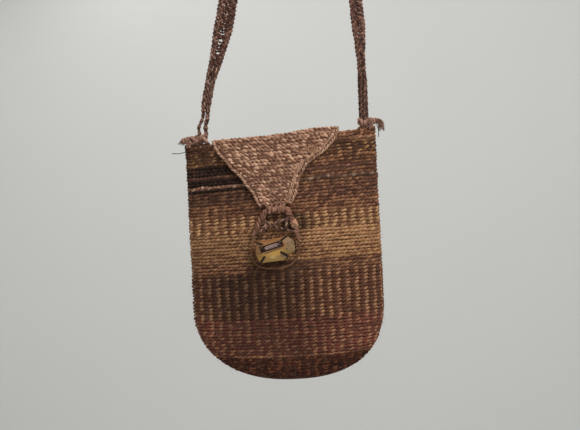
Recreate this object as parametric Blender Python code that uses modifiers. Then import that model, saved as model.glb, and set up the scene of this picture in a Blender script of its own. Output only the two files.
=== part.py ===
"""Small hand-twined shoulder bag with a flap, a yarn loop and a carved button.

Metres, +Z up, the front faces -Y and +X is the viewer's right. The origin is the hang point:
the underside of the strap at its highest place. Run with blender --background --python part.py.
"""
import math

import bmesh
import bpy
from mathutils import Matrix, Vector

# Clearance between pieces that touch, and how far a cutter runs past what it cuts
GAP = 0.0003
OVERRUN = 0.002
MERGE_DISTANCE = 0.00001

# Where the pouch hangs below the origin
HANG_TO_RIM = 0.4735
POUCH_ASIDE = -0.0299

# Pouch
POUCH_WIDTH = 0.205
POUCH_HEIGHT = 0.2575
BOTTOM_ROUND = 0.081
# The lowest point hangs this far right of the middle
BOTTOM_ASIDE = 0.005
RIM_RISE = 0.011
FRONT_BULGE = 0.0195
BACK_BULGE = 0.0155
MOUTH_FRONT = 0.0095
MOUTH_BACK = 0.0085
POUCH_WALL = 0.003
SECTION_POWER = 2.5
BOTTOM_POWER = 2.3
BACK_FLAT_SHARE = 0.93
POUCH_SEGMENTS = 48
BOTTOM_RINGS = 8
SIDE_RINGS = 9

# Cord edge of the mouth, and the cord that sews the flap on
EDGING_RADIUS = 0.0015
ROOT_CORD_RADIUS = 0.0015
ROOT_CORD_DROP = 0.003

# Corner loops that carry the strap
EAR_INSET = 0.005
EAR_Y = -0.003
EAR_THICKNESS = 0.004
EAR_RADIUS = 0.0045
EAR_RISE = 0.006
EAR_BORE = 0.0021
EAR_STEPS = 10
PIN_RADIUS = 0.0016

# Strap knots, tassels and threads
KNOT_RADIUS = 0.0046
LEFT_KNOT_LENGTH = 0.018
RIGHT_KNOT_LENGTH = 0.0095
OUTER_KNOT_RADIUS = 0.0038
OUTER_KNOT_LENGTH = 0.0042
TASSEL_LENGTH = 0.0065
TASSEL_RADIUS = 0.0044
TASSEL_CURL = 0.0085
THREAD_RADIUS = 0.0005
THREAD_LENGTH = 0.014
# Length share and radius share along a knot, and along the left tassel
BARREL_SHARES = ((0, 0), (0, 0.55), (0.2, 0.88), (0.5, 1), (0.8, 0.88), (1, 0.55), (1, 0))
TASSEL_SHARES = ((0, 0), (0, 0.5), (0.45, 0.8), (0.85, 1), (1, 0.85), (1, 0))

# Strap
STRAP_WIDTH = 0.0195
STRAP_THICKNESS = 0.003
STRAP_END_WIDTH = 0.0105
STRAP_TAPER = 0.085
STRAP_EDGE_SHARE = 0.27
RUNG_PITCH = 0.0103
PEG_RADIUS = 0.015
LEFT_SPLIT = 0.029
LEFT_BAND_START = 0.066
RIGHT_BAND_START = 0.050
NECK_RADIUS = 0.0048
STRAND_RADIUS = 0.0024
STRAND_GAP = 0.001
TAIL_CORD_RADIUS = 0.0055
LEFT_FOOT_IN = 0.0165
RIGHT_FOOT_IN = 0.0066
TWIST_RIGHT = math.radians(38)
# Shares of the band's length where its turn towards the peg starts and ends, each side of the top
TWIST_SHARES = (0.175, 0.46, 0.54, 0.825)
# Where the arc over the peg has its corners
PEG_DEGREES = (168, 140, 115, 90, 65, 40, 12)
# Height share from foot to peg, and how far the leg still is from the peg, as a share of the foot's
LEFT_LEG_SHARES = ((0, 1), (0.1, 0.93), (0.218, 0.765), (0.331, 0.628), (0.66, 0.325), (0.9, 0.085))
RIGHT_LEG_SHARES = ((0, 1), (0.15, 1.0), (0.27, 0.955), (0.42, 0.85), (0.7, 0.47), (0.9, 0.14))

# Flap
FLAP_THICKNESS = 0.0026
FLAP_LEFT = 0.07
FLAP_RIGHT = 0.0605
FLAP_LENGTH = 0.075
FLAP_CLEARANCE = 0.001
FLAP_HINGE_OUT = 0.0028
FLAP_LIFT = 0.0004
FLAP_EDGING_RADIUS = 0.0017
TIP_ASIDE = -0.0115
TIP_WIDTH = 0.028
# Length share from fold to tip, and the edge's place as a share of its way in from the fold's end
LEFT_EDGE_SHARES = ((0, 0), (0.15, 0.11), (0.36, 0.34), (0.58, 0.635), (0.8, 0.85), (1, 1))
RIGHT_EDGE_SHARES = ((0, 0), (0.12, 0.06), (0.28, 0.27), (0.45, 0.64), (0.62, 0.79), (0.85, 0.9), (1, 1))
FLAP_ROWS = 14
FLAP_COLUMNS = 14

# Yarn turns at the tip, and the loop
WHIPPING_RADIUS = 0.004
WHIPPING_LENGTH = 0.018
LOOP_RADIUS = 0.0016
LOOP_PLAY = 0.0004
LOOP_TOP = 0.0125
LOOP_CORNER = 0.004
LOOP_ROOM = 0.0024
LOOP_ROOM_BELOW = 0.0068
LOOP_GAP = 0.0007
LOOP_POWER = 2.6
LOOP_KNOT_RADIUS = 0.0034
LOOP_KNOT_LENGTH = 0.006
LOOP_KNOT_SHARE = 0.34
CROSS_RADIUS = 0.0011
CROSS_START_SHARE = 0.16
CROSS_END_SHARE = 0.58

# Button: its middle from the pouch's middle and the rim, and its outline as shares of its half-sizes
BUTTON_ASIDE = -0.0108
BUTTON_DROP = 0.1145
BUTTON_WIDTH = 0.041
BUTTON_HEIGHT = 0.027
BUTTON_THICKNESS = 0.0095
BUTTON_EDGE = 0.0045
BUTTON_CLEARANCE = 0.0008
BUTTON_OUTLINE_SHARES = (
    (-0.93, 0.61), (0.62, 1.0), (0.97, 0.61), (1.0, -0.18),
    (0.61, -0.51), (0.44, -0.86), (-0.78, -1.0), (-1.0, -0.25),
)
TOP_SHARE = 0.62
TOP_SHIFT_SHARES = (-0.07, 0.1)
HOLE_SPREAD = 0.0098
HOLE_RADIUS = 0.0024
HOLE_MIDDLE_SHARES = (-0.17, 0.26)
HOLE_SLANT = math.radians(15)
RECESS_WIDTH = 0.0066
RECESS_DEPTH = 0.0036
BAR_RADIUS = 0.0022
BAR_END_RADIUS = 0.0018
# Where the bar ends, where it has its full thickness, and where the cord bends behind the button,
# as shares of the way from the middle out to a hole
BAR_SHARES = (0.82, 0.4, 0.72)
LEG_RADIUS = 0.0015
GROOVE_RADIUS = 0.0012
LASHING_RADIUS = 0.0008
SHANK_RADIUS = 0.0016
SHANK_COLLAR = 0.0027
SHANK_HOLE_PLAY = 0.0005
ANCHOR_KNOT_RADIUS = 0.004
ANCHOR_KNOT_LENGTH = 0.006

BAG = bpy.data.collections.new("shoulder_bag")
CUTTERS = bpy.data.collections.new("cutters")

RIM_SLOPE = math.atan2(RIM_RISE, POUCH_WIDTH)
ALONG = Vector((math.cos(RIM_SLOPE), 0, math.sin(RIM_SLOPE)))
ABOVE = Vector((-math.sin(RIM_SLOPE), 0, math.cos(RIM_SLOPE)))
BACKWARD = Vector((0, 1, 0))
RIM_MIDDLE = Vector((POUCH_ASIDE, 0, -HANG_TO_RIM))
ROUND_START = -HANG_TO_RIM - POUCH_HEIGHT + BOTTOM_ROUND


def empty_scene():
    """Remove what the scene holds and link the two collections."""
    for old in list(bpy.data.objects):
        bpy.data.objects.remove(old, do_unlink=True)
    for collection in (BAG, CUTTERS):
        bpy.context.scene.collection.children.link(collection)


def rim_point(along, back, above):
    """A point given along the rim from its middle, backwards, and above the rim line."""
    return RIM_MIDDLE + ALONG * along + BACKWARD * back + ABOVE * above


def finish(name, colour, roughness):
    """A plain Principled material."""
    material = bpy.data.materials.new(name)
    material.use_nodes = True
    shader = material.node_tree.nodes["Principled BSDF"]
    shader.inputs["Base Color"].default_value = (*colour, 1)
    shader.inputs["Roughness"].default_value = roughness
    shader.inputs["Metallic"].default_value = 0
    return material


def joint_empty(name, point, parent=None):
    """An empty on a joint's axis; the pieces of the moving body hang on it."""
    empty = bpy.data.objects.new(name, None)
    BAG.objects.link(empty)
    empty.rotation_euler = (0, -RIM_SLOPE, 0)
    if parent:
        empty.parent = parent
        empty.matrix_parent_inverse = parent.matrix_world.inverted()
    empty.location = point
    bpy.context.view_layer.update()
    return empty


def dress(obj, material, parent):
    """Give a piece its material and hang it on its joint, where it already stands."""
    obj.data.materials.clear()
    obj.data.materials.append(material)
    if parent:
        obj.parent = parent
        obj.matrix_parent_inverse = parent.matrix_world.inverted()
    return obj


def mesh_object(name, mesh_data, collection=None):
    """An object from a bmesh, with its faces turned outwards and smooth."""
    bmesh.ops.recalc_face_normals(mesh_data, faces=mesh_data.faces)
    mesh = bpy.data.meshes.new(name)
    mesh_data.to_mesh(mesh)
    mesh_data.free()
    mesh.shade_smooth()
    mesh.set_sharp_from_angle(angle=math.radians(40))
    obj = bpy.data.objects.new(name, mesh)
    (collection or BAG).objects.link(obj)
    return obj


def signed_power(value, exponent):
    """value ** exponent that keeps the sign."""
    return math.copysign(abs(value) ** exponent, value)


def smooth_step(share):
    """0 to 1 with level ends."""
    share = min(max(share, 0), 1)
    return share * share * (3 - 2 * share)


def smooth_route(corners, steps):
    """Catmull-Rom curve through the corners, with so many steps to each span."""
    route = []
    for i in range(len(corners) - 1):
        before = corners[max(i - 1, 0)]
        start, end = corners[i], corners[i + 1]
        after = corners[min(i + 2, len(corners) - 1)]
        for step in range(steps):
            t = step / steps
            route.append(
                0.5 * (2 * start + (end - before) * t
                       + (2 * before - 5 * start + 4 * end - after) * t ** 2
                       + (3 * start - before - 3 * end + after) * t ** 3)
            )
    route.append(corners[-1].copy())
    return route


class Route:
    """A curve measured by its length."""

    def __init__(self, points):
        self.points = points
        self.marks = [0]
        for a, b in zip(points, points[1:]):
            self.marks.append(self.marks[-1] + (b - a).length)
        self.length = self.marks[-1]

    def at(self, distance):
        """The point and the direction at a distance from the start."""
        last = len(self.points) - 2
        i = min(max(sum(mark <= distance for mark in self.marks) - 1, 0), last)
        span = self.points[i + 1] - self.points[i]
        share = (distance - self.marks[i]) / span.length
        return self.points[i] + span * share, span.normalized()


def tube(name, points, radii, sides=8, closed=False):
    """A cord: a POLY curve with a round bevel and filled caps."""
    curve = bpy.data.curves.new(name, "CURVE")
    curve.dimensions = "3D"
    curve.bevel_mode = "ROUND"
    curve.bevel_depth = radii[0]
    curve.bevel_resolution = max(sides // 2 - 2, 1)
    curve.render_resolution_u = 0
    curve.use_fill_caps = True
    spline = curve.splines.new("POLY")
    spline.points.add(len(points) - 1)
    for spot, point, radius in zip(spline.points, points, radii):
        spot.co = (*point, 1)
        spot.radius = radius / radii[0]
    spline.use_cyclic_u = closed
    obj = bpy.data.objects.new(name, curve)
    BAG.objects.link(obj)
    return obj


def turned(name, stations, origin, direction, steps=14):
    """A turned piece: (place along the axis, radius) stations, spun about the direction."""
    mesh_data = bmesh.new()
    spots = [mesh_data.verts.new((radius, 0, place)) for place, radius in reversed(stations)]
    for a, b in zip(spots, spots[1:]):
        mesh_data.edges.new((a, b))
    if stations[0][1] > 0:
        mesh_data.edges.new((spots[-1], spots[0]))
    mesh = bpy.data.meshes.new(name)
    mesh_data.to_mesh(mesh)
    mesh_data.free()
    obj = bpy.data.objects.new(name, mesh)
    BAG.objects.link(obj)
    obj.matrix_world = Matrix.Translation(origin) @ direction.to_track_quat("Z", "Y").to_matrix().to_4x4()
    spin = obj.modifiers.new("spin", "SCREW")
    spin.axis = "Z"
    spin.steps = steps
    spin.render_steps = steps
    spin.use_merge_vertices = True
    spin.merge_threshold = MERGE_DISTANCE
    spin.use_normal_calculate = True
    return obj


def barrel(start, end, radius):
    """Stations of a knot-like barrel whose ends close on the axis."""
    length = end - start
    return [(start + length * share, radius * width) for share, width in BARREL_SHARES]


def cut(target, cutter):
    """Take the cutter out of the target."""
    cutter.hide_render = True
    cutter.display_type = "WIRE"
    modifier = target.modifiers.new(cutter.name, "BOOLEAN")
    modifier.operation = "DIFFERENCE"
    modifier.solver = "EXACT"
    modifier.object = cutter


def rod_cutter(name, start, end, radius, sides=12):
    """A cutter: a round rod between two points."""
    mesh_data = bmesh.new()
    bmesh.ops.create_cone(
        mesh_data, cap_ends=True, segments=sides, radius1=radius, radius2=radius,
        depth=(end - start).length,
    )
    obj = mesh_object(name, mesh_data, CUTTERS)
    turn = (end - start).to_track_quat("Z", "Y").to_matrix().to_4x4()
    obj.matrix_world = Matrix.Translation((start + end) / 2) @ turn
    return obj


def rim_height(x):
    """Height of the rim line at x."""
    return -HANG_TO_RIM + math.tan(RIM_SLOPE) * (x - POUCH_ASIDE)


def half_depth(share, front):
    """Half-depth of the pouch from the start of its round bottom (0) to the rim (1)."""
    bulge, mouth = (FRONT_BULGE, MOUTH_FRONT) if front else (BACK_BULGE, MOUTH_BACK)
    return mouth + (bulge - mouth) * math.cos(share * math.pi / 2)


def section_point(angle, width, front, back):
    """A point of the pouch's rounded section, with its back pressed flat."""
    x = width * signed_power(math.cos(angle), 2 / SECTION_POWER)
    y = -signed_power(math.sin(angle), 2 / SECTION_POWER) * (front if math.sin(angle) > 0 else back)
    return x, y


def front_depth(x, z):
    """How far the pouch's front stands out at x and z."""
    share = (z - ROUND_START) / (rim_height(x) - ROUND_START)
    out = min(abs(x - POUCH_ASIDE) / (POUCH_WIDTH / 2), 1)
    section = (1 - out ** SECTION_POWER) ** (1 / SECTION_POWER)
    return half_depth(min(max(share, 0), 1), True) * section


def pouch_rings(inset):
    """Rings of one face of the pouch's wall, from just above its lowest point up to the rim."""
    flat = BACK_BULGE * BACK_FLAT_SHARE - inset
    width = POUCH_WIDTH / 2 - inset
    rings = []
    for ring in range(1, BOTTOM_RINGS + SIDE_RINGS + 1):
        if ring <= BOTTOM_RINGS:
            turn = (1 - ring / BOTTOM_RINGS) * math.pi / 2
            scale = math.cos(turn) ** (2 / BOTTOM_POWER)
            share = 0
            drop = (BOTTOM_ROUND - inset) * math.sin(turn) ** (2 / BOTTOM_POWER)
        else:
            scale, drop = 1, 0
            share = (ring - BOTTOM_RINGS) / SIDE_RINGS
        front = (half_depth(share, True) - inset) * scale
        back = (half_depth(share, False) - inset) * scale
        points = []
        for i in range(POUCH_SEGMENTS):
            x, y = section_point(i * math.tau / POUCH_SEGMENTS, width * scale, front, back)
            top = rim_height(POUCH_ASIDE + x)
            z = ROUND_START - drop + share * (top - ROUND_START)
            aside = POUCH_ASIDE + BOTTOM_ASIDE * (drop / BOTTOM_ROUND) ** 2
            points.append(Vector((aside + x, min(y, flat), z)))
        rings.append(points)
    return rings


def make_pouch():
    """The twined body: outer and inner faces of the wall, joined at the rim."""
    mesh_data = bmesh.new()
    outer, inner = pouch_rings(0), pouch_rings(POUCH_WALL)
    lowest = Vector((POUCH_ASIDE + BOTTOM_ASIDE, 0, ROUND_START - BOTTOM_ROUND))
    rings = [[mesh_data.verts.new(p) for p in ring] for ring in outer + inner[::-1]]
    poles = (
        (mesh_data.verts.new(lowest), rings[0]),
        (mesh_data.verts.new(lowest + Vector((0, 0, POUCH_WALL))), rings[-1]),
    )
    for low, high in zip(rings, rings[1:]):
        for i in range(POUCH_SEGMENTS):
            j = (i + 1) % POUCH_SEGMENTS
            mesh_data.faces.new((low[i], low[j], high[j], high[i]))
    for pole, ring in poles:
        for i in range(POUCH_SEGMENTS):
            mesh_data.faces.new((pole, ring[i], ring[(i + 1) % POUCH_SEGMENTS]))
    pouch = mesh_object("pouch", mesh_data)
    start = Vector((SHANK_X, 0, SHANK_Z))
    end = start - BACKWARD * (FRONT_BULGE + OVERRUN)
    cut(pouch, rod_cutter("shank_hole", start, end, SHANK_RADIUS + SHANK_HOLE_PLAY))
    return pouch


def make_mouth_edging():
    """The cord edge on top of the rim, all round the mouth."""
    inset = POUCH_WALL / 2
    points = []
    for i in range(POUCH_SEGMENTS):
        x, y = section_point(
            i * math.tau / POUCH_SEGMENTS, POUCH_WIDTH / 2 - inset, MOUTH_FRONT - inset, MOUTH_BACK - inset
        )
        points.append(Vector((POUCH_ASIDE + x, y, rim_height(POUCH_ASIDE + x) + GAP + EDGING_RADIUS)))
    return tube("mouth_edging", points, [EDGING_RADIUS] * len(points), closed=True)


def back_rim(along):
    """How far back the pouch stands at the rim."""
    out = abs(along) / (POUCH_WIDTH / 2)
    return MOUTH_BACK * (1 - out ** SECTION_POWER) ** (1 / SECTION_POWER)


def make_flap_root_cord():
    """The sewing cord along the back of the rim, under the flap's root."""
    points = []
    for i in range(FLAP_COLUMNS + 1):
        along = -FLAP_LEFT + (FLAP_LEFT + FLAP_RIGHT) * i / FLAP_COLUMNS
        lower = half_depth(1 - 2 * ROOT_CORD_DROP / (POUCH_HEIGHT - BOTTOM_ROUND), False) - MOUTH_BACK
        back = back_rim(along) + lower + GAP + ROOT_CORD_RADIUS
        points.append(rim_point(along, back, -ROOT_CORD_DROP))
    return tube("flap_root_cord", points, [ROOT_CORD_RADIUS] * len(points))


def make_ear(name, along):
    """A corner loop: an arch with a round hole, standing on the mouth's edging."""
    outline = [(-EAR_RADIUS, -EAR_RISE), (EAR_RADIUS, -EAR_RISE)]
    for i in range(EAR_STEPS + 1):
        turn = i * math.pi / EAR_STEPS
        outline.append((EAR_RADIUS * math.cos(turn), EAR_RADIUS * math.sin(turn)))
    hole = []
    for i in range(2 * EAR_STEPS):
        turn = i * math.pi / EAR_STEPS
        hole.append((EAR_BORE * math.cos(turn), EAR_BORE * math.sin(turn)))
    curve = bpy.data.curves.new(name, "CURVE")
    curve.dimensions = "2D"
    curve.fill_mode = "BOTH"
    curve.extrude = EAR_THICKNESS / 2
    curve.render_resolution_u = 0
    for loop in (outline, hole):
        spline = curve.splines.new("POLY")
        spline.points.add(len(loop) - 1)
        for spot, (u, v) in zip(spline.points, loop):
            spot.co = (u, v, 0, 1)
        spline.use_cyclic_u = True
    ear = bpy.data.objects.new(name, curve)
    BAG.objects.link(ear)
    place = rim_point(along, EAR_Y, HINGE_ABOVE)
    turn = Matrix((BACKWARD, ABOVE, ALONG)).transposed().to_4x4()
    ear.matrix_world = Matrix.Translation(place) @ turn
    return ear


def make_strap_knot(name, side, inner_length):
    """A knot with a waist that turns in its ear, on the strap's hinge axis."""
    ear_face = EAR_THICKNESS / 2 + GAP
    inner = barrel(ear_face, ear_face + inner_length, KNOT_RADIUS)
    outer = barrel(-ear_face - OUTER_KNOT_LENGTH, -ear_face, OUTER_KNOT_RADIUS)
    waist = [(-ear_face, PIN_RADIUS), (ear_face, PIN_RADIUS)]
    stations = outer[:-1] + waist + inner[1:]
    place = rim_point(side * EAR_ALONG, EAR_Y, HINGE_ABOVE)
    return turned(name, stations, place, ALONG * -side)


def make_tassel_left():
    """The frayed end past the left knot, pointing out to the side."""
    start = EAR_THICKNESS / 2 + GAP + OUTER_KNOT_LENGTH + GAP
    stations = [(start + TASSEL_LENGTH * share, TASSEL_RADIUS * width) for share, width in TASSEL_SHARES]
    place = rim_point(-EAR_ALONG, EAR_Y, HINGE_ABOVE)
    return turned("tassel_left", stations, place, -ALONG)


def right_tassel_points():
    """Middle line of the right tassel, which curls out of the knot and hangs."""
    start = EAR_ALONG + EAR_THICKNESS / 2 + GAP + OUTER_KNOT_LENGTH + GAP
    curl = TASSEL_CURL / 2
    points = [rim_point(start, EAR_Y, HINGE_ABOVE)]
    bend = start + curl / 3
    for i in range(6):
        turn = i * math.pi / 10
        points.append(
            rim_point(bend + curl * math.sin(turn), EAR_Y, HINGE_ABOVE - curl * (1 - math.cos(turn)))
        )
    points.append(rim_point(bend + curl, EAR_Y, HINGE_ABOVE - TASSEL_CURL))
    points.append(rim_point(bend + curl, EAR_Y, HINGE_ABOVE - TASSEL_CURL * 3 / 2))
    return points


def make_tassel_right():
    """The frayed end past the right knot."""
    points = right_tassel_points()
    thin = OUTER_KNOT_RADIUS * BARREL_SHARES[1][1]
    radii = [thin + (TASSEL_RADIUS - thin) * smooth_step(i / 4) for i in range(len(points))]
    return tube("tassel_right", points, radii)


def make_thread_right():
    """A thin dark thread hanging from the right knot."""
    knot_share, width_share = BARREL_SHARES[-3]
    along = EAR_ALONG + EAR_THICKNESS / 2 + GAP + OUTER_KNOT_LENGTH * knot_share
    top = HINGE_ABOVE - OUTER_KNOT_RADIUS * width_share - GAP
    points = [
        rim_point(along, EAR_Y, top),
        rim_point(along + THREAD_LENGTH / 10, EAR_Y, top - THREAD_LENGTH / 2),
        rim_point(along + THREAD_LENGTH / 20, EAR_Y - THREAD_LENGTH / 20, top - THREAD_LENGTH),
    ]
    route = smooth_route(points, 4)
    return tube("loose_thread_right", route, [THREAD_RADIUS] * len(route), sides=6)


def make_thread_left():
    """A thin dark thread that sticks out of the pouch's left corner."""
    drop = THREAD_LENGTH / 7
    start = -POUCH_WIDTH / 2 / math.cos(RIM_SLOPE) - GAP
    points = [
        rim_point(start, 0, -drop),
        rim_point(start - THREAD_LENGTH / 2, 0, -drop - THREAD_LENGTH / 20),
        rim_point(start - THREAD_LENGTH, -THREAD_LENGTH / 10, -drop),
    ]
    route = smooth_route(points, 4)
    return tube("loose_thread_left", route, [THREAD_RADIUS] * len(route), sides=6)


def strap_route():
    """Middle line of the strap, from the left knot over the peg to the right knot."""
    left = rim_point(-EAR_ALONG + LEFT_FOOT_IN, EAR_Y, HINGE_ABOVE)
    right = rim_point(EAR_ALONG - RIGHT_FOOT_IN, EAR_Y, HINGE_ABOVE)
    radius = PEG_RADIUS + STRAP_THICKNESS / 2

    def leg(foot, shares):
        points = []
        for height, aside in shares:
            side = math.copysign(radius, foot.x)
            y = foot.y * (1 - smooth_step(height))
            x = side + (foot.x - side) * aside
            points.append(Vector((x, y, foot.z + (-PEG_RADIUS - foot.z) * height)))
        return points

    arc = []
    for degrees in PEG_DEGREES:
        turn = math.radians(degrees)
        arc.append(Vector((radius * math.cos(turn), 0, radius * math.sin(turn) - PEG_RADIUS)))
    corners = leg(left, LEFT_LEG_SHARES) + arc + leg(right, RIGHT_LEG_SHARES)[::-1]
    return Route(smooth_route(corners, 12))


def make_strap_band(route):
    """The openwork band: two edges and the rungs between them, twisted to lie flat on a peg."""
    start, end = LEFT_BAND_START, route.length - RIGHT_BAND_START
    length = end - start
    intervals = 2 * round(length / RUNG_PITCH) + 1
    mesh_data = bmesh.new()
    rows = []
    for i in range(intervals + 1):
        place = length * i / intervals
        middle, heading = route.at(start + place)
        nearest = min(place, length - place)
        width = STRAP_END_WIDTH + (STRAP_WIDTH - STRAP_END_WIDTH) * smooth_step(nearest / STRAP_TAPER)
        share = place / length
        first, second = [
            smooth_step((share - a) / (b - a)) for a, b in (TWIST_SHARES[:2], TWIST_SHARES[2:])
        ]
        twist = math.pi / 2 * first + (TWIST_RIGHT - math.pi / 2) * second
        inward = heading.cross(BACKWARD).normalized()
        across = inward * math.cos(twist) + BACKWARD * math.sin(twist)
        edge = STRAP_EDGE_SHARE * width
        offsets = (-width / 2, -width / 2 + edge, width / 2 - edge, width / 2)
        rows.append([mesh_data.verts.new(middle + across * offset) for offset in offsets])
    for i, (low, high) in enumerate(zip(rows, rows[1:])):
        columns = (0, 1, 2) if i % 2 == 0 else (0, 2)
        for j in columns:
            mesh_data.faces.new((low[j], low[j + 1], high[j + 1], high[j]))
    band = mesh_object("strap_band", mesh_data)
    shell = band.modifiers.new("thickness", "SOLIDIFY")
    shell.thickness = STRAP_THICKNESS
    shell.offset = 0
    return band


def make_strap_neck(route):
    """The narrow stretch under the band's left end."""
    start, end = LEFT_SPLIT, LEFT_BAND_START - GAP
    points, radii = [], []
    steps = 6
    for i in range(steps + 1):
        share = i / steps
        points.append(route.at(start + (end - start) * share)[0])
        swell = abs(2 * share - 1) ** 2
        wide = 2 * STRAND_RADIUS if share < 0.5 else STRAP_END_WIDTH / 2
        radii.append(NECK_RADIUS + (wide - NECK_RADIUS) * swell)
    return tube("strap_neck_left", points, radii, sides=10)


def make_tail_strands(route):
    """The two strands between the left knot and the neck."""
    top, heading = route.at(LEFT_SPLIT - GAP)
    side = heading.cross(BACKWARD).normalized()
    if side.x < 0:
        side = -side
    spread = STRAND_RADIUS + STRAND_GAP / 2
    knot_middle = rim_point(-EAR_ALONG + LEFT_FOOT_IN, EAR_Y, HINGE_ABOVE + KNOT_RADIUS + GAP)
    strands = []
    for name, sign in (("outer", -1), ("inner", 1)):
        foot = knot_middle + ALONG * sign * (spread + STRAND_GAP)
        end = top + side * sign * spread
        third = (end - foot).length / 3
        corners = [foot, foot + ABOVE * third, end - heading * third, end]
        route_points = smooth_route(corners, 3)
        strands.append(
            tube("tail_strand_left_" + name, route_points, [STRAND_RADIUS] * len(route_points))
        )
    return strands


def make_tail_cord(route):
    """The thick cord between the right knot and the band."""
    foot = rim_point(EAR_ALONG - RIGHT_FOOT_IN, EAR_Y, HINGE_ABOVE + KNOT_RADIUS + GAP)
    high = route.length - RIGHT_BAND_START + GAP
    low = route.length - KNOT_RADIUS - 2 * TAIL_CORD_RADIUS
    steps = 6
    points = [foot, foot + ABOVE * TAIL_CORD_RADIUS / 2]
    for i in range(steps + 1):
        points.append(route.at(low + (high - low) * i / steps)[0])
    radii = [TAIL_CORD_RADIUS] * (len(points) - 2) + [
        (TAIL_CORD_RADIUS + STRAP_END_WIDTH / 2) / 2, STRAP_END_WIDTH / 2
    ]
    return tube("tail_cord_right", points, radii, sides=10)


def edge_place(shares, way):
    """Read a table of (length share, inward share) at a place along the flap."""
    for (a, x), (b, y) in zip(shares, shares[1:]):
        if way <= b:
            return x + (y - x) * (way - a) / (b - a)
    return shares[-1][1]


def flap_edges(way):
    """Left and right edge of the flap, along the rim from its middle, at a share of its length."""
    left = -FLAP_LEFT + (TIP_ASIDE - TIP_WIDTH / 2 + FLAP_LEFT) * edge_place(LEFT_EDGE_SHARES, way)
    right = FLAP_RIGHT + (TIP_ASIDE + TIP_WIDTH / 2 - FLAP_RIGHT) * edge_place(RIGHT_EDGE_SHARES, way)
    return left, right


def flap_front(along, below):
    """A point of the hanging flap's middle surface."""
    spot = rim_point(along, 0, FOLD_TOP - below)
    out = max(front_depth(spot.x, spot.z), front_depth(spot.x, rim_height(spot.x)))
    return spot - BACKWARD * (out + FLAP_CLEARANCE + FLAP_THICKNESS / 2)


def fold_edge(along):
    """How far forward the fold plate's front edge lies."""
    spot = rim_point(along, 0, 0)
    return front_depth(spot.x, spot.z) + FLAP_CLEARANCE - GAP


def sheet_object(name, rows, thickness):
    """A sheet from a grid of points, thickened evenly to both sides."""
    mesh_data = bmesh.new()
    grid = [[mesh_data.verts.new(point) for point in row] for row in rows]
    for low, high in zip(grid, grid[1:]):
        for a, b, c, d in zip(low, low[1:], high[1:], high):
            mesh_data.faces.new((a, b, c, d))
    sheet = mesh_object(name, mesh_data)
    shell = sheet.modifiers.new("thickness", "SOLIDIFY")
    shell.thickness = thickness
    shell.offset = 0
    return sheet


def make_flap_fold():
    """The stretch of the flap over the mouth, from its hinge at the back to the front fold."""
    rows = []
    steps = 5
    for i in range(steps + 1):
        share = i / steps
        row = []
        for j in range(FLAP_COLUMNS + 1):
            along = -FLAP_LEFT + (FLAP_LEFT + FLAP_RIGHT) * j / FLAP_COLUMNS
            back = FLAP_HINGE_Y - (FLAP_HINGE_Y + fold_edge(along)) * share
            row.append(rim_point(along, back, FOLD_TOP - FLAP_THICKNESS / 2))
        rows.append(row)
    return sheet_object("flap_fold", rows, FLAP_THICKNESS)


def make_flap_panel():
    """The hanging, roughly triangular front of the flap."""
    rows = []
    for i in range(FLAP_ROWS + 1):
        share = i / FLAP_ROWS
        left, right = flap_edges(share)
        row = []
        for j in range(FLAP_COLUMNS + 1):
            row.append(flap_front(left + (right - left) * j / FLAP_COLUMNS, FLAP_LENGTH * share))
        rows.append(row)
    return sheet_object("flap_panel", rows, FLAP_THICKNESS)


def make_flap_edging(name, side):
    """The pale cord along one slanted edge of the flap."""
    points = []
    offset = FLAP_EDGING_RADIUS + GAP * 2
    for i in range(FLAP_ROWS + 1):
        share = i / FLAP_ROWS
        ways = [min(max(share + step / FLAP_ROWS / 2, 0), 1) for step in (-1, 1)]
        ends = [flap_edges(way)[(side + 1) // 2] for way in ways]
        inward = abs(ends[1] - ends[0]) / ((ways[1] - ways[0]) * FLAP_LENGTH)
        reach = math.hypot(inward, 1)
        along = flap_edges(share)[(side + 1) // 2] + side * offset / reach
        below = FLAP_LENGTH * share + offset * inward / reach
        points.append(flap_front(along, below))
    return tube(name, points, [FLAP_EDGING_RADIUS] * len(points))


def make_whipping():
    """Yarn turns at the flap's tip, open along their middle for the loop."""
    bore = LOOP_RADIUS + LOOP_PLAY
    half = WHIPPING_LENGTH / 2
    ends = WHIPPING_RADIUS - LOOP_RADIUS / 2
    stations = [(-half, bore), (-half, ends), (-half / 2, WHIPPING_RADIUS),
                (half / 2, WHIPPING_RADIUS), (half, ends), (half, bore)]
    return turned("flap_tip_whipping", stations, LOOP_HINGE, ALONG, steps=16)


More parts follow.
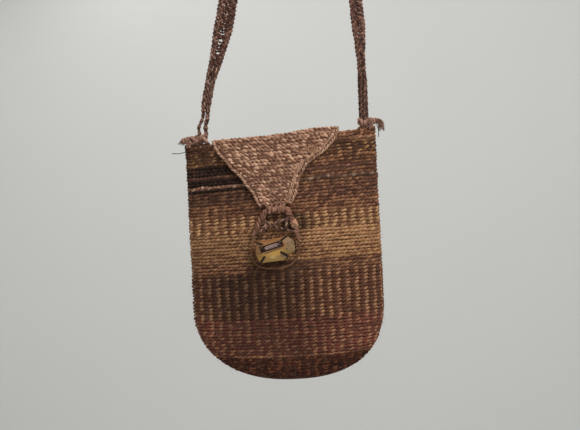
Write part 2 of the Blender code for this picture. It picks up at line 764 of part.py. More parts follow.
def loop_points():
    """Middle line of the loop, once round, starting at the left end of its top bar."""
    half_width = BUTTON_WIDTH / 2 + LOOP_ROOM + LOOP_RADIUS
    below = BUTTON_HEIGHT / 2 + LOOP_ROOM_BELOW
    middle = BUTTON_MIDDLE
    drop = LOOP_HINGE.z - middle.z

    def spot(aside, height):
        """A point of the loop's plane, which leans back from the tip to behind the button."""
        share = height / drop
        x = middle.x + (LOOP_HINGE.x - middle.x) * share + aside
        level = max(share, 0)
        surface = front_depth(x, middle.z + height) + LOOP_GAP + LOOP_RADIUS
        y = -max(surface, LOOP_BACK + (-LOOP_HINGE.y - LOOP_BACK) * level)
        return Vector((x, y, middle.z + height))

    def branch(side):
        points = []
        steps = 9
        for i in range(steps + 1):
            share = 1 - i / steps
            height = (drop - LOOP_CORNER) * share
            aside = LOOP_TOP + (half_width - LOOP_TOP) * (1 - share ** 2)
            points.append(spot(side * aside, height))
        return points

    bottom = []
    steps = 16
    for i in range(1, steps):
        turn = i * math.pi / steps
        aside = half_width * signed_power(math.cos(turn), 2 / LOOP_POWER)
        bottom.append(spot(aside, -below * math.sin(turn) ** (2 / LOOP_POWER)))
    corner = LOOP_CORNER * (1 - math.sqrt(0.5))
    top = [LOOP_HINGE + ALONG * side * (LOOP_TOP - LOOP_CORNER) for side in (-1, 1)]
    bends = [LOOP_HINGE + ALONG * side * (LOOP_TOP - corner) - ABOVE * corner for side in (-1, 1)]
    right, left = branch(1), branch(-1)
    return [bends[0], top[0], top[1], bends[1]] + right + bottom + left[::-1]


def make_loop():
    """The yarn loop: one closed cord through the whipping and round behind the button."""
    points = loop_points()
    return tube("button_loop", points, [LOOP_RADIUS] * len(points), closed=True)


def branch_point(side, share):
    """A point and heading on the loop's branch, by its share from top to the widest place."""
    points = loop_points()
    branch = points[4:14] if side > 0 else points[-10:][::-1]
    route = Route(branch)
    return route.at(route.length * share)


def make_loop_knot():
    """A pale knot tied round the loop's right branch."""
    place, heading = branch_point(1, LOOP_KNOT_SHARE)
    bore = LOOP_RADIUS + LOOP_PLAY
    half = LOOP_KNOT_LENGTH / 2
    stations = [(-half, bore), (-half, LOOP_KNOT_RADIUS * 0.75), (0, LOOP_KNOT_RADIUS),
                (half, LOOP_KNOT_RADIUS * 0.75), (half, bore)]
    return turned("loop_knot", stations, place, heading, steps=12)


def make_cross_strand():
    """The thin strand that crosses the loop above the button."""
    start = branch_point(-1, CROSS_START_SHARE)[0]
    end = branch_point(1, CROSS_END_SHARE)[0]
    way = (end - start).normalized()
    room = LOOP_RADIUS + CROSS_RADIUS
    sag = Vector((0, 0, -CROSS_RADIUS * 2))
    corners = [start + way * room, (start + end) / 2 + sag, end - way * room]
    route = smooth_route(corners, 5)
    return tube("loop_cross_strand", route, [CROSS_RADIUS] * len(route), sides=6)


def button_spot(share_x, share_z, y):
    """A point of the button given by shares of its half-sizes."""
    return Vector((
        BUTTON_MIDDLE.x + share_x * BUTTON_WIDTH / 2, y, BUTTON_MIDDLE.z + share_z * BUTTON_HEIGHT / 2
    ))


def make_button():
    """The carved button: bevelled all round, with a recess, two holes and four grooves."""
    edge_y = BUTTON_BACK_Y - BUTTON_EDGE
    mesh_data = bmesh.new()
    rings = []
    for y, scale, shift in (
        (BUTTON_BACK_Y, 1 - BUTTON_EDGE / BUTTON_WIDTH, 0), (BUTTON_BACK_Y - BUTTON_EDGE / 3, 1, 0),
        (edge_y, 1, 0), (BUTTON_FRONT_Y, TOP_SHARE, 1),
    ):
        ring = []
        for u, v in BUTTON_OUTLINE_SHARES:
            ring.append(mesh_data.verts.new(button_spot(
                u * scale + TOP_SHIFT_SHARES[0] * shift, v * scale + TOP_SHIFT_SHARES[1] * shift, y
            )))
        rings.append(ring)
    count = len(BUTTON_OUTLINE_SHARES)
    for low, high in zip(rings, rings[1:]):
        for i in range(count):
            j = (i + 1) % count
            mesh_data.faces.new((low[i], low[j], high[j], high[i]))
    mesh_data.faces.new(rings[0])
    mesh_data.faces.new(rings[-1])
    button = mesh_object("button_block", mesh_data)
    holes = [hole_spot(side, 0) for side in (-1, 1)]
    reach = BACKWARD * (BUTTON_THICKNESS + OVERRUN)
    middle_y = (BUTTON_BACK_Y + BUTTON_FRONT_Y) / 2
    for side, hole in zip(("left", "right"), holes):
        spot = Vector((hole.x, middle_y, hole.z))
        cut(button, rod_cutter("hole_" + side, spot - reach, spot + reach, HOLE_RADIUS))
    cut(button, make_recess_cutter())
    for name, corner in GROOVES.items():
        side = -1 if "left" in name else 1
        start, end = groove_line(side, corner)
        cut(button, rod_cutter("groove_" + name, start, end, GROOVE_RADIUS, sides=8))
    return button


def hole_spot(side, y):
    """Middle of a hole at a depth."""
    return Vector((
        SHANK_X + side * HOLE_SPREAD * math.cos(HOLE_SLANT), y,
        SHANK_Z + side * HOLE_SPREAD * math.sin(HOLE_SLANT),
    ))


def make_recess_cutter():
    """The long recess that holds the bar, as a box turned with the holes."""
    mesh_data = bmesh.new()
    bmesh.ops.create_cube(mesh_data, size=1)
    depth = RECESS_DEPTH + OVERRUN
    size = Vector((2 * (HOLE_SPREAD + HOLE_RADIUS), depth, RECESS_WIDTH))
    bmesh.ops.scale(mesh_data, vec=size, verts=mesh_data.verts)
    cutter = mesh_object("recess", mesh_data, CUTTERS)
    place = Vector((SHANK_X, BUTTON_FRONT_Y + RECESS_DEPTH - depth / 2, SHANK_Z))
    cutter.matrix_world = Matrix.Translation(place) @ Matrix.Rotation(-HOLE_SLANT, 4, "Y")
    return cutter


def groove_line(side, corner):
    """A groove's middle line, from beside its hole out past a corner of the button."""
    out = button_spot(corner[0], corner[1], BUTTON_BACK_Y - BUTTON_EDGE)
    top = button_spot(
        corner[0] * TOP_SHARE + TOP_SHIFT_SHARES[0], corner[1] * TOP_SHARE + TOP_SHIFT_SHARES[1],
        BUTTON_FRONT_Y,
    )
    run = (out - top).normalized()
    return top - run * GROOVE_RADIUS, out + run * 2 * GROOVE_RADIUS


def make_lashing(name, side, corner):
    """A yarn strand in its groove."""
    start, end = groove_line(side, corner)
    run = (end - start).normalized()
    points = [start + run * GAP * 4, (start + end) / 2, end - run * 2 * GROOVE_RADIUS]
    return tube("lashing_" + name, points, [LASHING_RADIUS] * len(points), sides=6)


def make_button_cord():
    """The sewing cord: a bar in the recess, a leg through each hole, and a stretch behind."""
    bar_y = BUTTON_FRONT_Y + RECESS_DEPTH - GAP - BAR_RADIUS
    back_y = BUTTON_BACK_Y + BUTTON_CLEARANCE + LEG_RADIUS
    end, full, leg = BAR_SHARES
    points = [
        hole_spot(-end, bar_y), hole_spot(-full, bar_y), hole_spot(full, bar_y), hole_spot(end, bar_y),
        hole_spot(1, bar_y + BAR_RADIUS), hole_spot(1, BUTTON_BACK_Y), hole_spot(leg, back_y),
        hole_spot(-leg, back_y), hole_spot(-1, BUTTON_BACK_Y), hole_spot(-1, bar_y + BAR_RADIUS),
    ]
    thin = LEG_RADIUS
    radii = [BAR_END_RADIUS, BAR_RADIUS, BAR_RADIUS, BAR_END_RADIUS] + [thin] * 6
    return tube("button_cord", points, radii, closed=True)


def make_anchor():
    """The stitched shank: a knot inside the pouch, a stem through its wall and a collar outside."""
    wall_out = front_depth(SHANK_X, SHANK_Z)
    wall_in = wall_out - POUCH_WALL
    back_y = -BUTTON_BACK_Y - BUTTON_CLEARANCE - 2 * LEG_RADIUS
    slack = 2 * GAP
    knot = barrel(wall_in - slack - ANCHOR_KNOT_LENGTH, wall_in - slack, ANCHOR_KNOT_RADIUS)
    stations = knot[:-1] + [
        (wall_in - slack, SHANK_RADIUS), (wall_out + slack, SHANK_RADIUS),
        (wall_out + slack, SHANK_COLLAR), (back_y - GAP, SHANK_COLLAR), (back_y - GAP, 0),
    ]
    return turned("button_anchor", stations, Vector((SHANK_X, 0, SHANK_Z)), -BACKWARD)


# Places that follow from the sizes above
EAR_ALONG = (POUCH_WIDTH / 2 - EAR_INSET) / math.cos(RIM_SLOPE)
EDGING_TOP = GAP + 2 * EDGING_RADIUS
HINGE_ABOVE = EDGING_TOP + GAP + EAR_RISE
FOLD_BOTTOM = EDGING_TOP + FLAP_LIFT
FOLD_TOP = FOLD_BOTTOM + FLAP_THICKNESS
FLAP_HINGE_Y = MOUTH_BACK + FLAP_HINGE_OUT
BUTTON_MIDDLE = Vector((POUCH_ASIDE + BUTTON_ASIDE, 0, -HANG_TO_RIM - BUTTON_DROP))
SHANK_X = BUTTON_MIDDLE.x + HOLE_MIDDLE_SHARES[0] * BUTTON_WIDTH / 2
SHANK_Z = BUTTON_MIDDLE.z + HOLE_MIDDLE_SHARES[1] * BUTTON_HEIGHT / 2
LOOP_LOW = BUTTON_MIDDLE.z - BUTTON_HEIGHT / 2 - LOOP_ROOM_BELOW
LOOP_BACK = front_depth(POUCH_ASIDE, LOOP_LOW) + LOOP_GAP + LOOP_RADIUS
BUTTON_BACK_Y = -(LOOP_BACK + LOOP_RADIUS + BUTTON_CLEARANCE)
BUTTON_FRONT_Y = BUTTON_BACK_Y - BUTTON_THICKNESS
TIP = flap_front(TIP_ASIDE, FLAP_LENGTH)
LOOP_HINGE = TIP - ABOVE * (GAP + WHIPPING_RADIUS) - BACKWARD * (WHIPPING_RADIUS - FLAP_THICKNESS / 2)
GROOVES = {
    "upper_left": BUTTON_OUTLINE_SHARES[0],
    "lower_left": BUTTON_OUTLINE_SHARES[6],
    "upper_right": BUTTON_OUTLINE_SHARES[1],
    "lower_right": BUTTON_OUTLINE_SHARES[4],
}


def main():
    """Build the whole bag."""
    empty_scene()
    rose = finish("rose_brown_fibre", (0.27, 0.155, 0.105), 0.9)
    dark = finish("dark_brown_fibre", (0.12, 0.066, 0.045), 0.92)
    tan = finish("tan_fibre", (0.33, 0.21, 0.12), 0.9)
    pale = finish("pale_fibre", (0.5, 0.37, 0.27), 0.9)
    thread = finish("navy_thread", (0.02, 0.022, 0.05), 0.8)
    horn = finish("carved_ochre", (0.42, 0.27, 0.09), 0.45)
    grey = finish("grey_pink_cord", (0.3, 0.22, 0.2), 0.8)

    swing = joint_empty("pouch_swing", rim_point(0, EAR_Y, HINGE_ABOVE))
    turn_up = joint_empty("flap_turn_up", rim_point(0, FLAP_HINGE_Y, FOLD_BOTTOM), swing)
    front_fold = rim_point(0, -MOUTH_FRONT - FLAP_CLEARANCE, FOLD_TOP)
    unfold = joint_empty("flap_unfold", front_fold, turn_up)
    loop_lift = joint_empty("loop_lift", LOOP_HINGE, unfold)
    spin = joint_empty("button_spin", Vector((SHANK_X, BUTTON_BACK_Y, SHANK_Z)), swing)

    route = strap_route()
    dress(make_strap_band(route), rose, None)
    dress(make_strap_neck(route), rose, None)
    for strand in make_tail_strands(route):
        dress(strand, rose, None)
    dress(make_tail_cord(route), rose, None)
    dress(make_strap_knot("strap_knot_left", -1, LEFT_KNOT_LENGTH), pale, None)
    dress(make_strap_knot("strap_knot_right", 1, RIGHT_KNOT_LENGTH), rose, None)
    dress(make_tassel_left(), rose, None)
    dress(make_tassel_right(), dark, None)
    dress(make_thread_right(), thread, None)

    dress(make_pouch(), dark, swing)
    dress(make_mouth_edging(), pale, swing)
    dress(make_ear("ear_left", -EAR_ALONG), tan, swing)
    dress(make_ear("ear_right", EAR_ALONG), tan, swing)
    dress(make_flap_root_cord(), tan, swing)
    dress(make_anchor(), grey, swing)
    dress(make_thread_left(), thread, swing)

    dress(make_flap_fold(), tan, turn_up)
    dress(make_flap_panel(), tan, unfold)
    dress(make_flap_edging("flap_edging_left", -1), pale, unfold)
    dress(make_flap_edging("flap_edging_right", 1), pale, unfold)
    dress(make_whipping(), pale, unfold)

    dress(make_loop(), rose, loop_lift)
    dress(make_loop_knot(), pale, loop_lift)
    dress(make_cross_strand(), rose, loop_lift)

    dress(make_button(), horn, spin)
    dress(make_button_cord(), grey, spin)
    for name, corner in GROOVES.items():
        dress(make_lashing(name, -1 if "left" in name else 1, corner), grey, spin)


main()
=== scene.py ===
"""Looks of a small hand-twined shoulder bag: spun rows, flap, yarn loop, carved button and strap.

Metres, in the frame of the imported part: +Z up, the front faces -Y and +X is the viewer's right.
"""
import logging
import math
from dataclasses import dataclass, field
from enum import Enum
from typing import Any, Optional, Sequence, Union

import bpy
import numpy as np
from mathutils import Matrix, Vector


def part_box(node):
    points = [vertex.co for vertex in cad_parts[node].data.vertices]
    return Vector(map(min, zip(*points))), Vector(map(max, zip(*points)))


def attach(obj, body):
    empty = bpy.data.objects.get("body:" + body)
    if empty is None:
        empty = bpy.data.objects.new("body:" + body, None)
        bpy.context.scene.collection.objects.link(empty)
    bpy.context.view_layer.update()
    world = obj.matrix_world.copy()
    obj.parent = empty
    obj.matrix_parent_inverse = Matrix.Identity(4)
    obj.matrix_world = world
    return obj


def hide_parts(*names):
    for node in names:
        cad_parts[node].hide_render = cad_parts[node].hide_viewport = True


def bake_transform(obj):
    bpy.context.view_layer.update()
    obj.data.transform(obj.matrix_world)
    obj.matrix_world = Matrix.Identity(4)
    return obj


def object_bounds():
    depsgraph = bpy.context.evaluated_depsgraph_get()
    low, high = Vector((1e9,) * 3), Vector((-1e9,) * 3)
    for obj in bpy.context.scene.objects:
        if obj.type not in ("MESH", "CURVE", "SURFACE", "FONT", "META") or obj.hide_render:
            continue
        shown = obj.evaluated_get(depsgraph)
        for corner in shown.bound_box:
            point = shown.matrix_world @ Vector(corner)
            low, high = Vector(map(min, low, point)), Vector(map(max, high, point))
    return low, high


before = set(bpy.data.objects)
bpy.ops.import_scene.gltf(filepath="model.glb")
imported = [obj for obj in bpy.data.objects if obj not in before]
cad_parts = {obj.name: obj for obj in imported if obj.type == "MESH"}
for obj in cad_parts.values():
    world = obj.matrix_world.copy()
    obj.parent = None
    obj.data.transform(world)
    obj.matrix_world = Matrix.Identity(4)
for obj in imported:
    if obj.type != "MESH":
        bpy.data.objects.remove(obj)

CAD_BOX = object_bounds()
LOG = logging.getLogger("shoulder_bag")
TAU = math.tau
MM = 0.001

Colour = tuple[float, float, float]
Array = np.ndarray
Number = Union[float, Array]

RIGHTWARD = (1.0, 0.0, 0.0)
FORWARD = (0.0, -1.0, 0.0)
BACKWARD = (0.0, 1.0, 0.0)


def mm(*values: float) -> Array:
    """Millimetres as an array of metres."""
    return np.array(values) * MM


def dyed(red: int, green: int, blue: int) -> Colour:
    """A colour from its everyday 0 to 255 values, made linear for the shader.

    Args:
        red: Red, 0 to 255.
        green: Green, 0 to 255.
        blue: Blue, 0 to 255.

    Returns:
        The linear colour.
    """
    shares = [value / 255 for value in (red, green, blue)]
    return tuple(((share + 0.055) / 1.055) ** 2.4 if share > 0.04045 else share / 12.92 for share in shares)


class Body(Enum):
    """The moving bodies of the part."""

    STRAP = "strap"
    POUCH = "pouch"
    FOLD = "flap_fold"
    FLAP = "flap"
    LOOP = "loop"
    BUTTON = "button"


class Side(Enum):
    """Left and right as the viewer sees them."""

    LEFT = -1
    RIGHT = 1


class Twist(Enum):
    """Which way the strands of a cord wind."""

    RISING = 1
    FALLING = -1


class Wire:
    """A shader socket whose operators add Math nodes."""

    def __init__(self, sheet: "Sheet", socket: bpy.types.NodeSocket) -> None:
        """Keep the socket and the sheet it is on.

        Args:
            sheet: The material being drawn.
            socket: The output socket.
        """
        self.sheet = sheet
        self.socket = socket

    def math(self, operation: str, first: Any, second: Any) -> "Wire":
        """Add one Math node.

        Args:
            operation: The node's operation.
            first: First value or wire.
            second: Second value or wire.

        Returns:
            The node's result.
        """
        return self.sheet.node("ShaderNodeMath", {"operation": operation}, {0: first, 1: second})

    def __add__(self, other: Any) -> "Wire":
        """Sum."""
        return self.math("ADD", self, other)

    def __sub__(self, other: Any) -> "Wire":
        """Difference."""
        return self.math("SUBTRACT", self, other)

    def __rsub__(self, other: Any) -> "Wire":
        """Difference from a plain number."""
        return self.math("SUBTRACT", other, self)

    def __mul__(self, other: Any) -> "Wire":
        """Product."""
        return self.math("MULTIPLY", self, other)

    def __truediv__(self, other: Any) -> "Wire":
        """Quotient."""
        return self.math("DIVIDE", self, other)

    __radd__ = __add__
    __rmul__ = __mul__


Value = Union[float, Sequence[float], Wire]


class Sheet:
    """One material's node tree, drawn as expressions."""

    def __init__(self, name: str) -> None:
        """Start a material with a Principled shader.

        Args:
            name: The material's name.
        """
        self.material = bpy.data.materials.new(name)
        self.material.use_nodes = True
        self.tree = self.material.node_tree
        self.shader = self.tree.nodes["Principled BSDF"]

    def node(self, kind: str, settings: dict[str, Any], inputs: dict[Any, Value], output: Any = 0) -> Wire:
        """Add one node.

        Args:
            kind: The node's type.
            settings: Its settings, set first.
            inputs: Values or wires by socket name or number.
            output: Name or number of the socket to return.

        Returns:
            The chosen output.
        """
        made = self.tree.nodes.new(kind)
        for key, value in settings.items():
            setattr(made, key, value)
        for key, value in inputs.items():
            self.feed(made.inputs[key], value)
        return Wire(self, made.outputs[output])

    def feed(self, socket: bpy.types.NodeSocket, value: Value) -> None:
        """Link a wire to a socket, or set its plain value.

        Args:
            socket: The socket to feed.
            value: A wire, a number or a sequence.
        """
        if isinstance(value, Wire):
            self.tree.links.new(value.socket, socket)
        elif isinstance(value, tuple) and len(value) == 3 and socket.type == "RGBA":
            socket.default_value = (*value, 1.0)
        else:
            socket.default_value = value

    def attribute(self, name: str, output: str = "Fac") -> Wire:
        """Read a mesh attribute."""
        return self.node("ShaderNodeAttribute", {"attribute_name": name}, {}, output)

    def noise(self, vector: Value, scale: float, detail: float) -> Wire:
        """Noise of a vector, 0 to 1."""
        return self.node("ShaderNodeTexNoise", {}, {"Vector": vector, "Scale": scale, "Detail": detail})

    def step(self, value: Wire, low: float, high: float) -> Wire:
        """Smooth step of a value from 0 at low to 1 at high."""
        return self.node(
            "ShaderNodeMapRange", {"interpolation_type": "SMOOTHSTEP"}, {0: value, 1: low, 2: high}
        )

    def mix(self, share: Value, first: Value, second: Value) -> Wire:
        """Mix two colours by a share."""
        return self.node("ShaderNodeMix", {"data_type": "RGBA"}, {0: share, 6: first, 7: second}, 2)

    def shade(self, colour: Value, strength: Value) -> Wire:
        """A colour made lighter or darker by a factor."""
        return self.node("ShaderNodeVectorMath", {"operation": "SCALE"}, {0: colour, "Scale": strength})

    def stretch(self, vector: Value, factors: Colour) -> Wire:
        """A vector scaled differently along each axis."""
        return self.node("ShaderNodeVectorMath", {"operation": "MULTIPLY"}, {0: vector, 1: factors})

    def shift(self, vector: Value, by: Value) -> Wire:
        """A vector moved by another vector or by one number on all axes."""
        return self.node("ShaderNodeVectorMath", {"operation": "ADD"}, {0: vector, 1: by})

    def place(self) -> Wire:
        """The point's place on the object, in metres."""
        return self.node("ShaderNodeTexCoord", {}, {}, "Object")

    def bump(self, height: Value, strength: float, distance: float) -> None:
        """Feed a height to the shader's Normal through a Bump node."""
        bumped = self.node(
            "ShaderNodeBump", {}, {"Height": height, "Strength": strength, "Distance": distance}
        )
        self.feed(self.shader.inputs["Normal"], bumped)

    def finish(self, colour: Value, roughness: Value) -> bpy.types.Material:
        """Feed colour and roughness and hand the material back."""
        self.feed(self.shader.inputs["Base Color"], colour)
        self.feed(self.shader.inputs["Roughness"], roughness)
        return self.material


@dataclass(frozen=True)
class YarnFinish:
    """Hand-spun plant fibre: two strand colours, flecks along the strand and fine streaks."""

    name: str
    slot: str
    first: Colour
    second: Colour
    fleck: Colour
    fleck_share: float = 0.35
    patch: float = 14 * MM
    streak: float = 0.45
    mottle: float = 0.9
    dust: float = 0.25
    roughness: float = 0.9
    fibre_height: float = 0.35 * MM
    dark_place: float = 0.0
    dark_width: float = 80 * MM
    dark_share: float = 0.0
    gloss: float = 0.2
    sheen: float = 0.12

    def material(self) -> bpy.types.Material:
        """Draw the material.

        Returns:
            The material.
        """
        sheet = Sheet(self.name)
        spun = sheet.attribute("spun", "Vector")
        ply = sheet.attribute("ply")
        tone = sheet.attribute("tone")
        lane = sheet.shift(spun, sheet.node("ShaderNodeCombineXYZ", {}, {0: ply * 3, 1: ply * 7, 2: ply}))
        patches = sheet.noise(sheet.stretch(lane, (0.35, 0.35, 1 / self.patch)), 1.0, 1.0)
        streaks = sheet.noise(sheet.stretch(lane, (3.2, 3.2, 90.0)), 1.0, 3.0)
        fine = sheet.noise(sheet.stretch(lane, (7.0, 7.0, 260.0)), 1.0, 2.0)
        wide = sheet.noise(sheet.place(), 26.0, 2.0)
        threshold = 1 - self.fleck_share
        flecks = sheet.step(patches, threshold - 0.22, threshold + 0.02)
        drift = sheet.noise(sheet.stretch(lane, (0.1, 0.1, 14.0)), 1.0, 1.0)
        base = sheet.mix(tone + (drift - 0.5) * self.mottle, self.first, self.second)
        base = sheet.mix(flecks, base, self.fleck)
        light = 1 - self.streak / 2 + streaks * self.streak
        grit = sheet.noise(sheet.place(), 430.0, 2.0)
        light = light * (1 - self.dust / 2 + wide * self.dust) * (0.86 + fine * 0.28) * (0.72 + grit * 0.56)
        # Rows darker in a broad band about dark_place across x: painted shade on the checker and cocoa rows,
        # partly painted shade on the umber and ticked rows, on the rest only darker towards one side.
        if self.dark_share:
            aside = sheet.node("ShaderNodeSeparateXYZ", {}, {0: sheet.place()}) + (wide - 0.5) * 0.05
            off = (aside - self.dark_place) / self.dark_width
            light = light * (1 - self.dark_share * (1 - sheet.step(off * off, 0.0, 1.0)))
        sheet.bump(streaks * 0.6 + fine * 0.4, 0.9, self.fibre_height)
        sheet.shader.inputs["Specular IOR Level"].default_value = self.gloss
        sheet.shader.inputs["Sheen Weight"].default_value = self.sheen
        sheet.shader.inputs["Sheen Tint"].default_value = (*self.first, 1.0)
        return sheet.finish(sheet.shade(base, light), self.roughness)


@dataclass(frozen=True)
class CarvedFinish:
    """Carved material with a different tone on each facet and a rough right side, with painted shade in the
    recess and grooves, the lower facet partly painted lighter as lit, and a painted highlight.
    """

    name: str
    slot: str
    upper: Colour
    lower: Colour
    bark: Colour
    grain: Colour
    # inside: colour of the painted shade in the recess, the holes and the grooves.
    inside: Colour
    shine: Colour
    roughness: float = 0.38

    def material(self) -> bpy.types.Material:
        """Draw the material.

        Returns:
            The material.
        """
        sheet = Sheet(self.name)
        place = sheet.place()
        facing = sheet.attribute("facing", "Vector")
        parts = sheet.node("ShaderNodeSeparateXYZ", {}, {0: facing}, 2)
        side = Wire(sheet, parts.socket.node.outputs[0])
        low = sheet.step(0 - parts, 0.12, 0.45)
        right = sheet.step(side, 0.15, 0.5)
        grain = sheet.noise(sheet.stretch(place, (60.0, 200.0, 420.0)), 1.0, 4.0)
        blotch = sheet.noise(place, 130.0, 3.0)
        pits = sheet.noise(place, 900.0, 4.0)
        # The downward-facing faces and the front below the recess take the lower colour, lighter and
        # yellower: partly the facet's own tone, partly painted light as if lit from above.
        low = sheet.node("ShaderNodeMath", {"operation": "MAXIMUM"}, {0: low, 1: sheet.attribute("belly")})
        body = sheet.mix(low, self.upper, self.lower)
        # Painted highlight on the lower facet, in the shine colour.
        body = sheet.mix(sheet.attribute("rubbed") * 0.7, body, self.shine)
        body = sheet.mix(sheet.step(grain, 0.42, 0.78) * 0.55, body, self.grain)
        bark = sheet.mix(sheet.step(pits, 0.42, 0.6), self.grain, self.bark)
        body = sheet.mix(right * 0.85, body, bark)
        # Painted shade in the recess, at the holes and in the grooves, in the inside colour.
        body = sheet.mix(sheet.attribute("hollow"), body, self.inside)
        height = grain * 0.3 + pits * (0.15 + right * 1.3)
        sheet.bump(height, 0.6, 0.3 * MM)
        rough = self.roughness - low * 0.1 + right * 0.4 + blotch * 0.12
        return sheet.finish(sheet.shade(body, 0.82 + blotch * 0.36), rough)


@dataclass(frozen=True)
class PlainFinish:
    """A painted or papered surface of the studio."""

    name: str
    colour: Colour
    roughness: float = 0.9

    def material(self) -> bpy.types.Material:
        """Draw the material.

        Returns:
            The material.
        """
        sheet = Sheet(self.name)
        cloudy = sheet.noise(sheet.place(), 3.0, 3.0)
        return sheet.finish(sheet.shade(self.colour, 0.98 + cloudy * 0.04), self.roughness)


def unit(vectors: Array) -> Array:
    """Vectors of length one."""
    return vectors / np.maximum(np.linalg.norm(vectors, axis=-1, keepdims=True), 1e-12)


def signed_power(value: Array, exponent: float) -> Array:
    """value ** exponent that keeps the sign."""
    return np.sign(value) * np.abs(value) ** exponent


def smooth(share: Array) -> Array:
    """0 to 1 with level ends."""
    share = np.clip(share, 0, 1)
    return share * share * (3 - 2 * share)


def marks(points: Array) -> Array:
    """Distance of each point along a line."""
    return np.concatenate([[0], np.cumsum(np.linalg.norm(np.diff(points, axis=0), axis=1))])


def at_marks(points: Array, known: Array, wanted: Array) -> Array:
    """Values of a line's columns at other distances along it."""
    return np.stack([np.interp(wanted, known, points[:, i]) for i in range(points.shape[1])], 1)


def spread(points: Array, step: float) -> Array:
    """A line with points at even distances.

    Args:
        points: The line's points.
        step: Roughly how far apart the new points lie.

    Returns:
        The new points.
    """
    known = marks(points)
    count = max(int(round(known[-1] / step)), 2)
    return at_marks(points, known, np.linspace(0, known[-1], count + 1))


def curve(corners: Sequence[Sequence[float]], steps: int = 12) -> Array:
    """A Catmull-Rom curve through corners.

    Args:
        corners: The corners, in metres.
        steps: Points to each span.

    Returns:
        The curve's points.
    """
    p = np.array([tuple(c) for c in corners], float)
    p = np.vstack([2 * p[0] - p[1], p, 2 * p[-1] - p[-2]])
    t = np.linspace(0, 1, steps, endpoint=False)[:, None]
    spans = [
        0.5 * (2 * b + (c - a) * t + (2 * a - 5 * b + 4 * c - d) * t ** 2 + (3 * b - a - 3 * c + d) * t ** 3)
        for a, b, c, d in zip(p, p[1:], p[2:], p[3:])
    ]
    return np.vstack(spans + [p[-2][None]])


def rails(points: Array, hint: Sequence[float], closed: bool = False) -> tuple[Array, Array]:
    """Two directions square to a line, turned as little as possible along it.

    Args:
        points: The line's points.
        hint: Where the first direction points at the line's start, roughly.
        closed: Whether the line comes back to its start.

    Returns:
        The side and up directions at each point.
    """
    if closed:
        ahead = unit(np.roll(points, -1, 0) - np.roll(points, 1, 0))
    else:
        ahead = unit(np.gradient(points, axis=0))
    side = np.empty_like(points)
    last = np.array(hint, float)
    for i, way in enumerate(ahead):
        last = last - way * last.dot(way)
        last = last / np.linalg.norm(last)
        side[i] = last
    return side, np.cross(ahead, side)


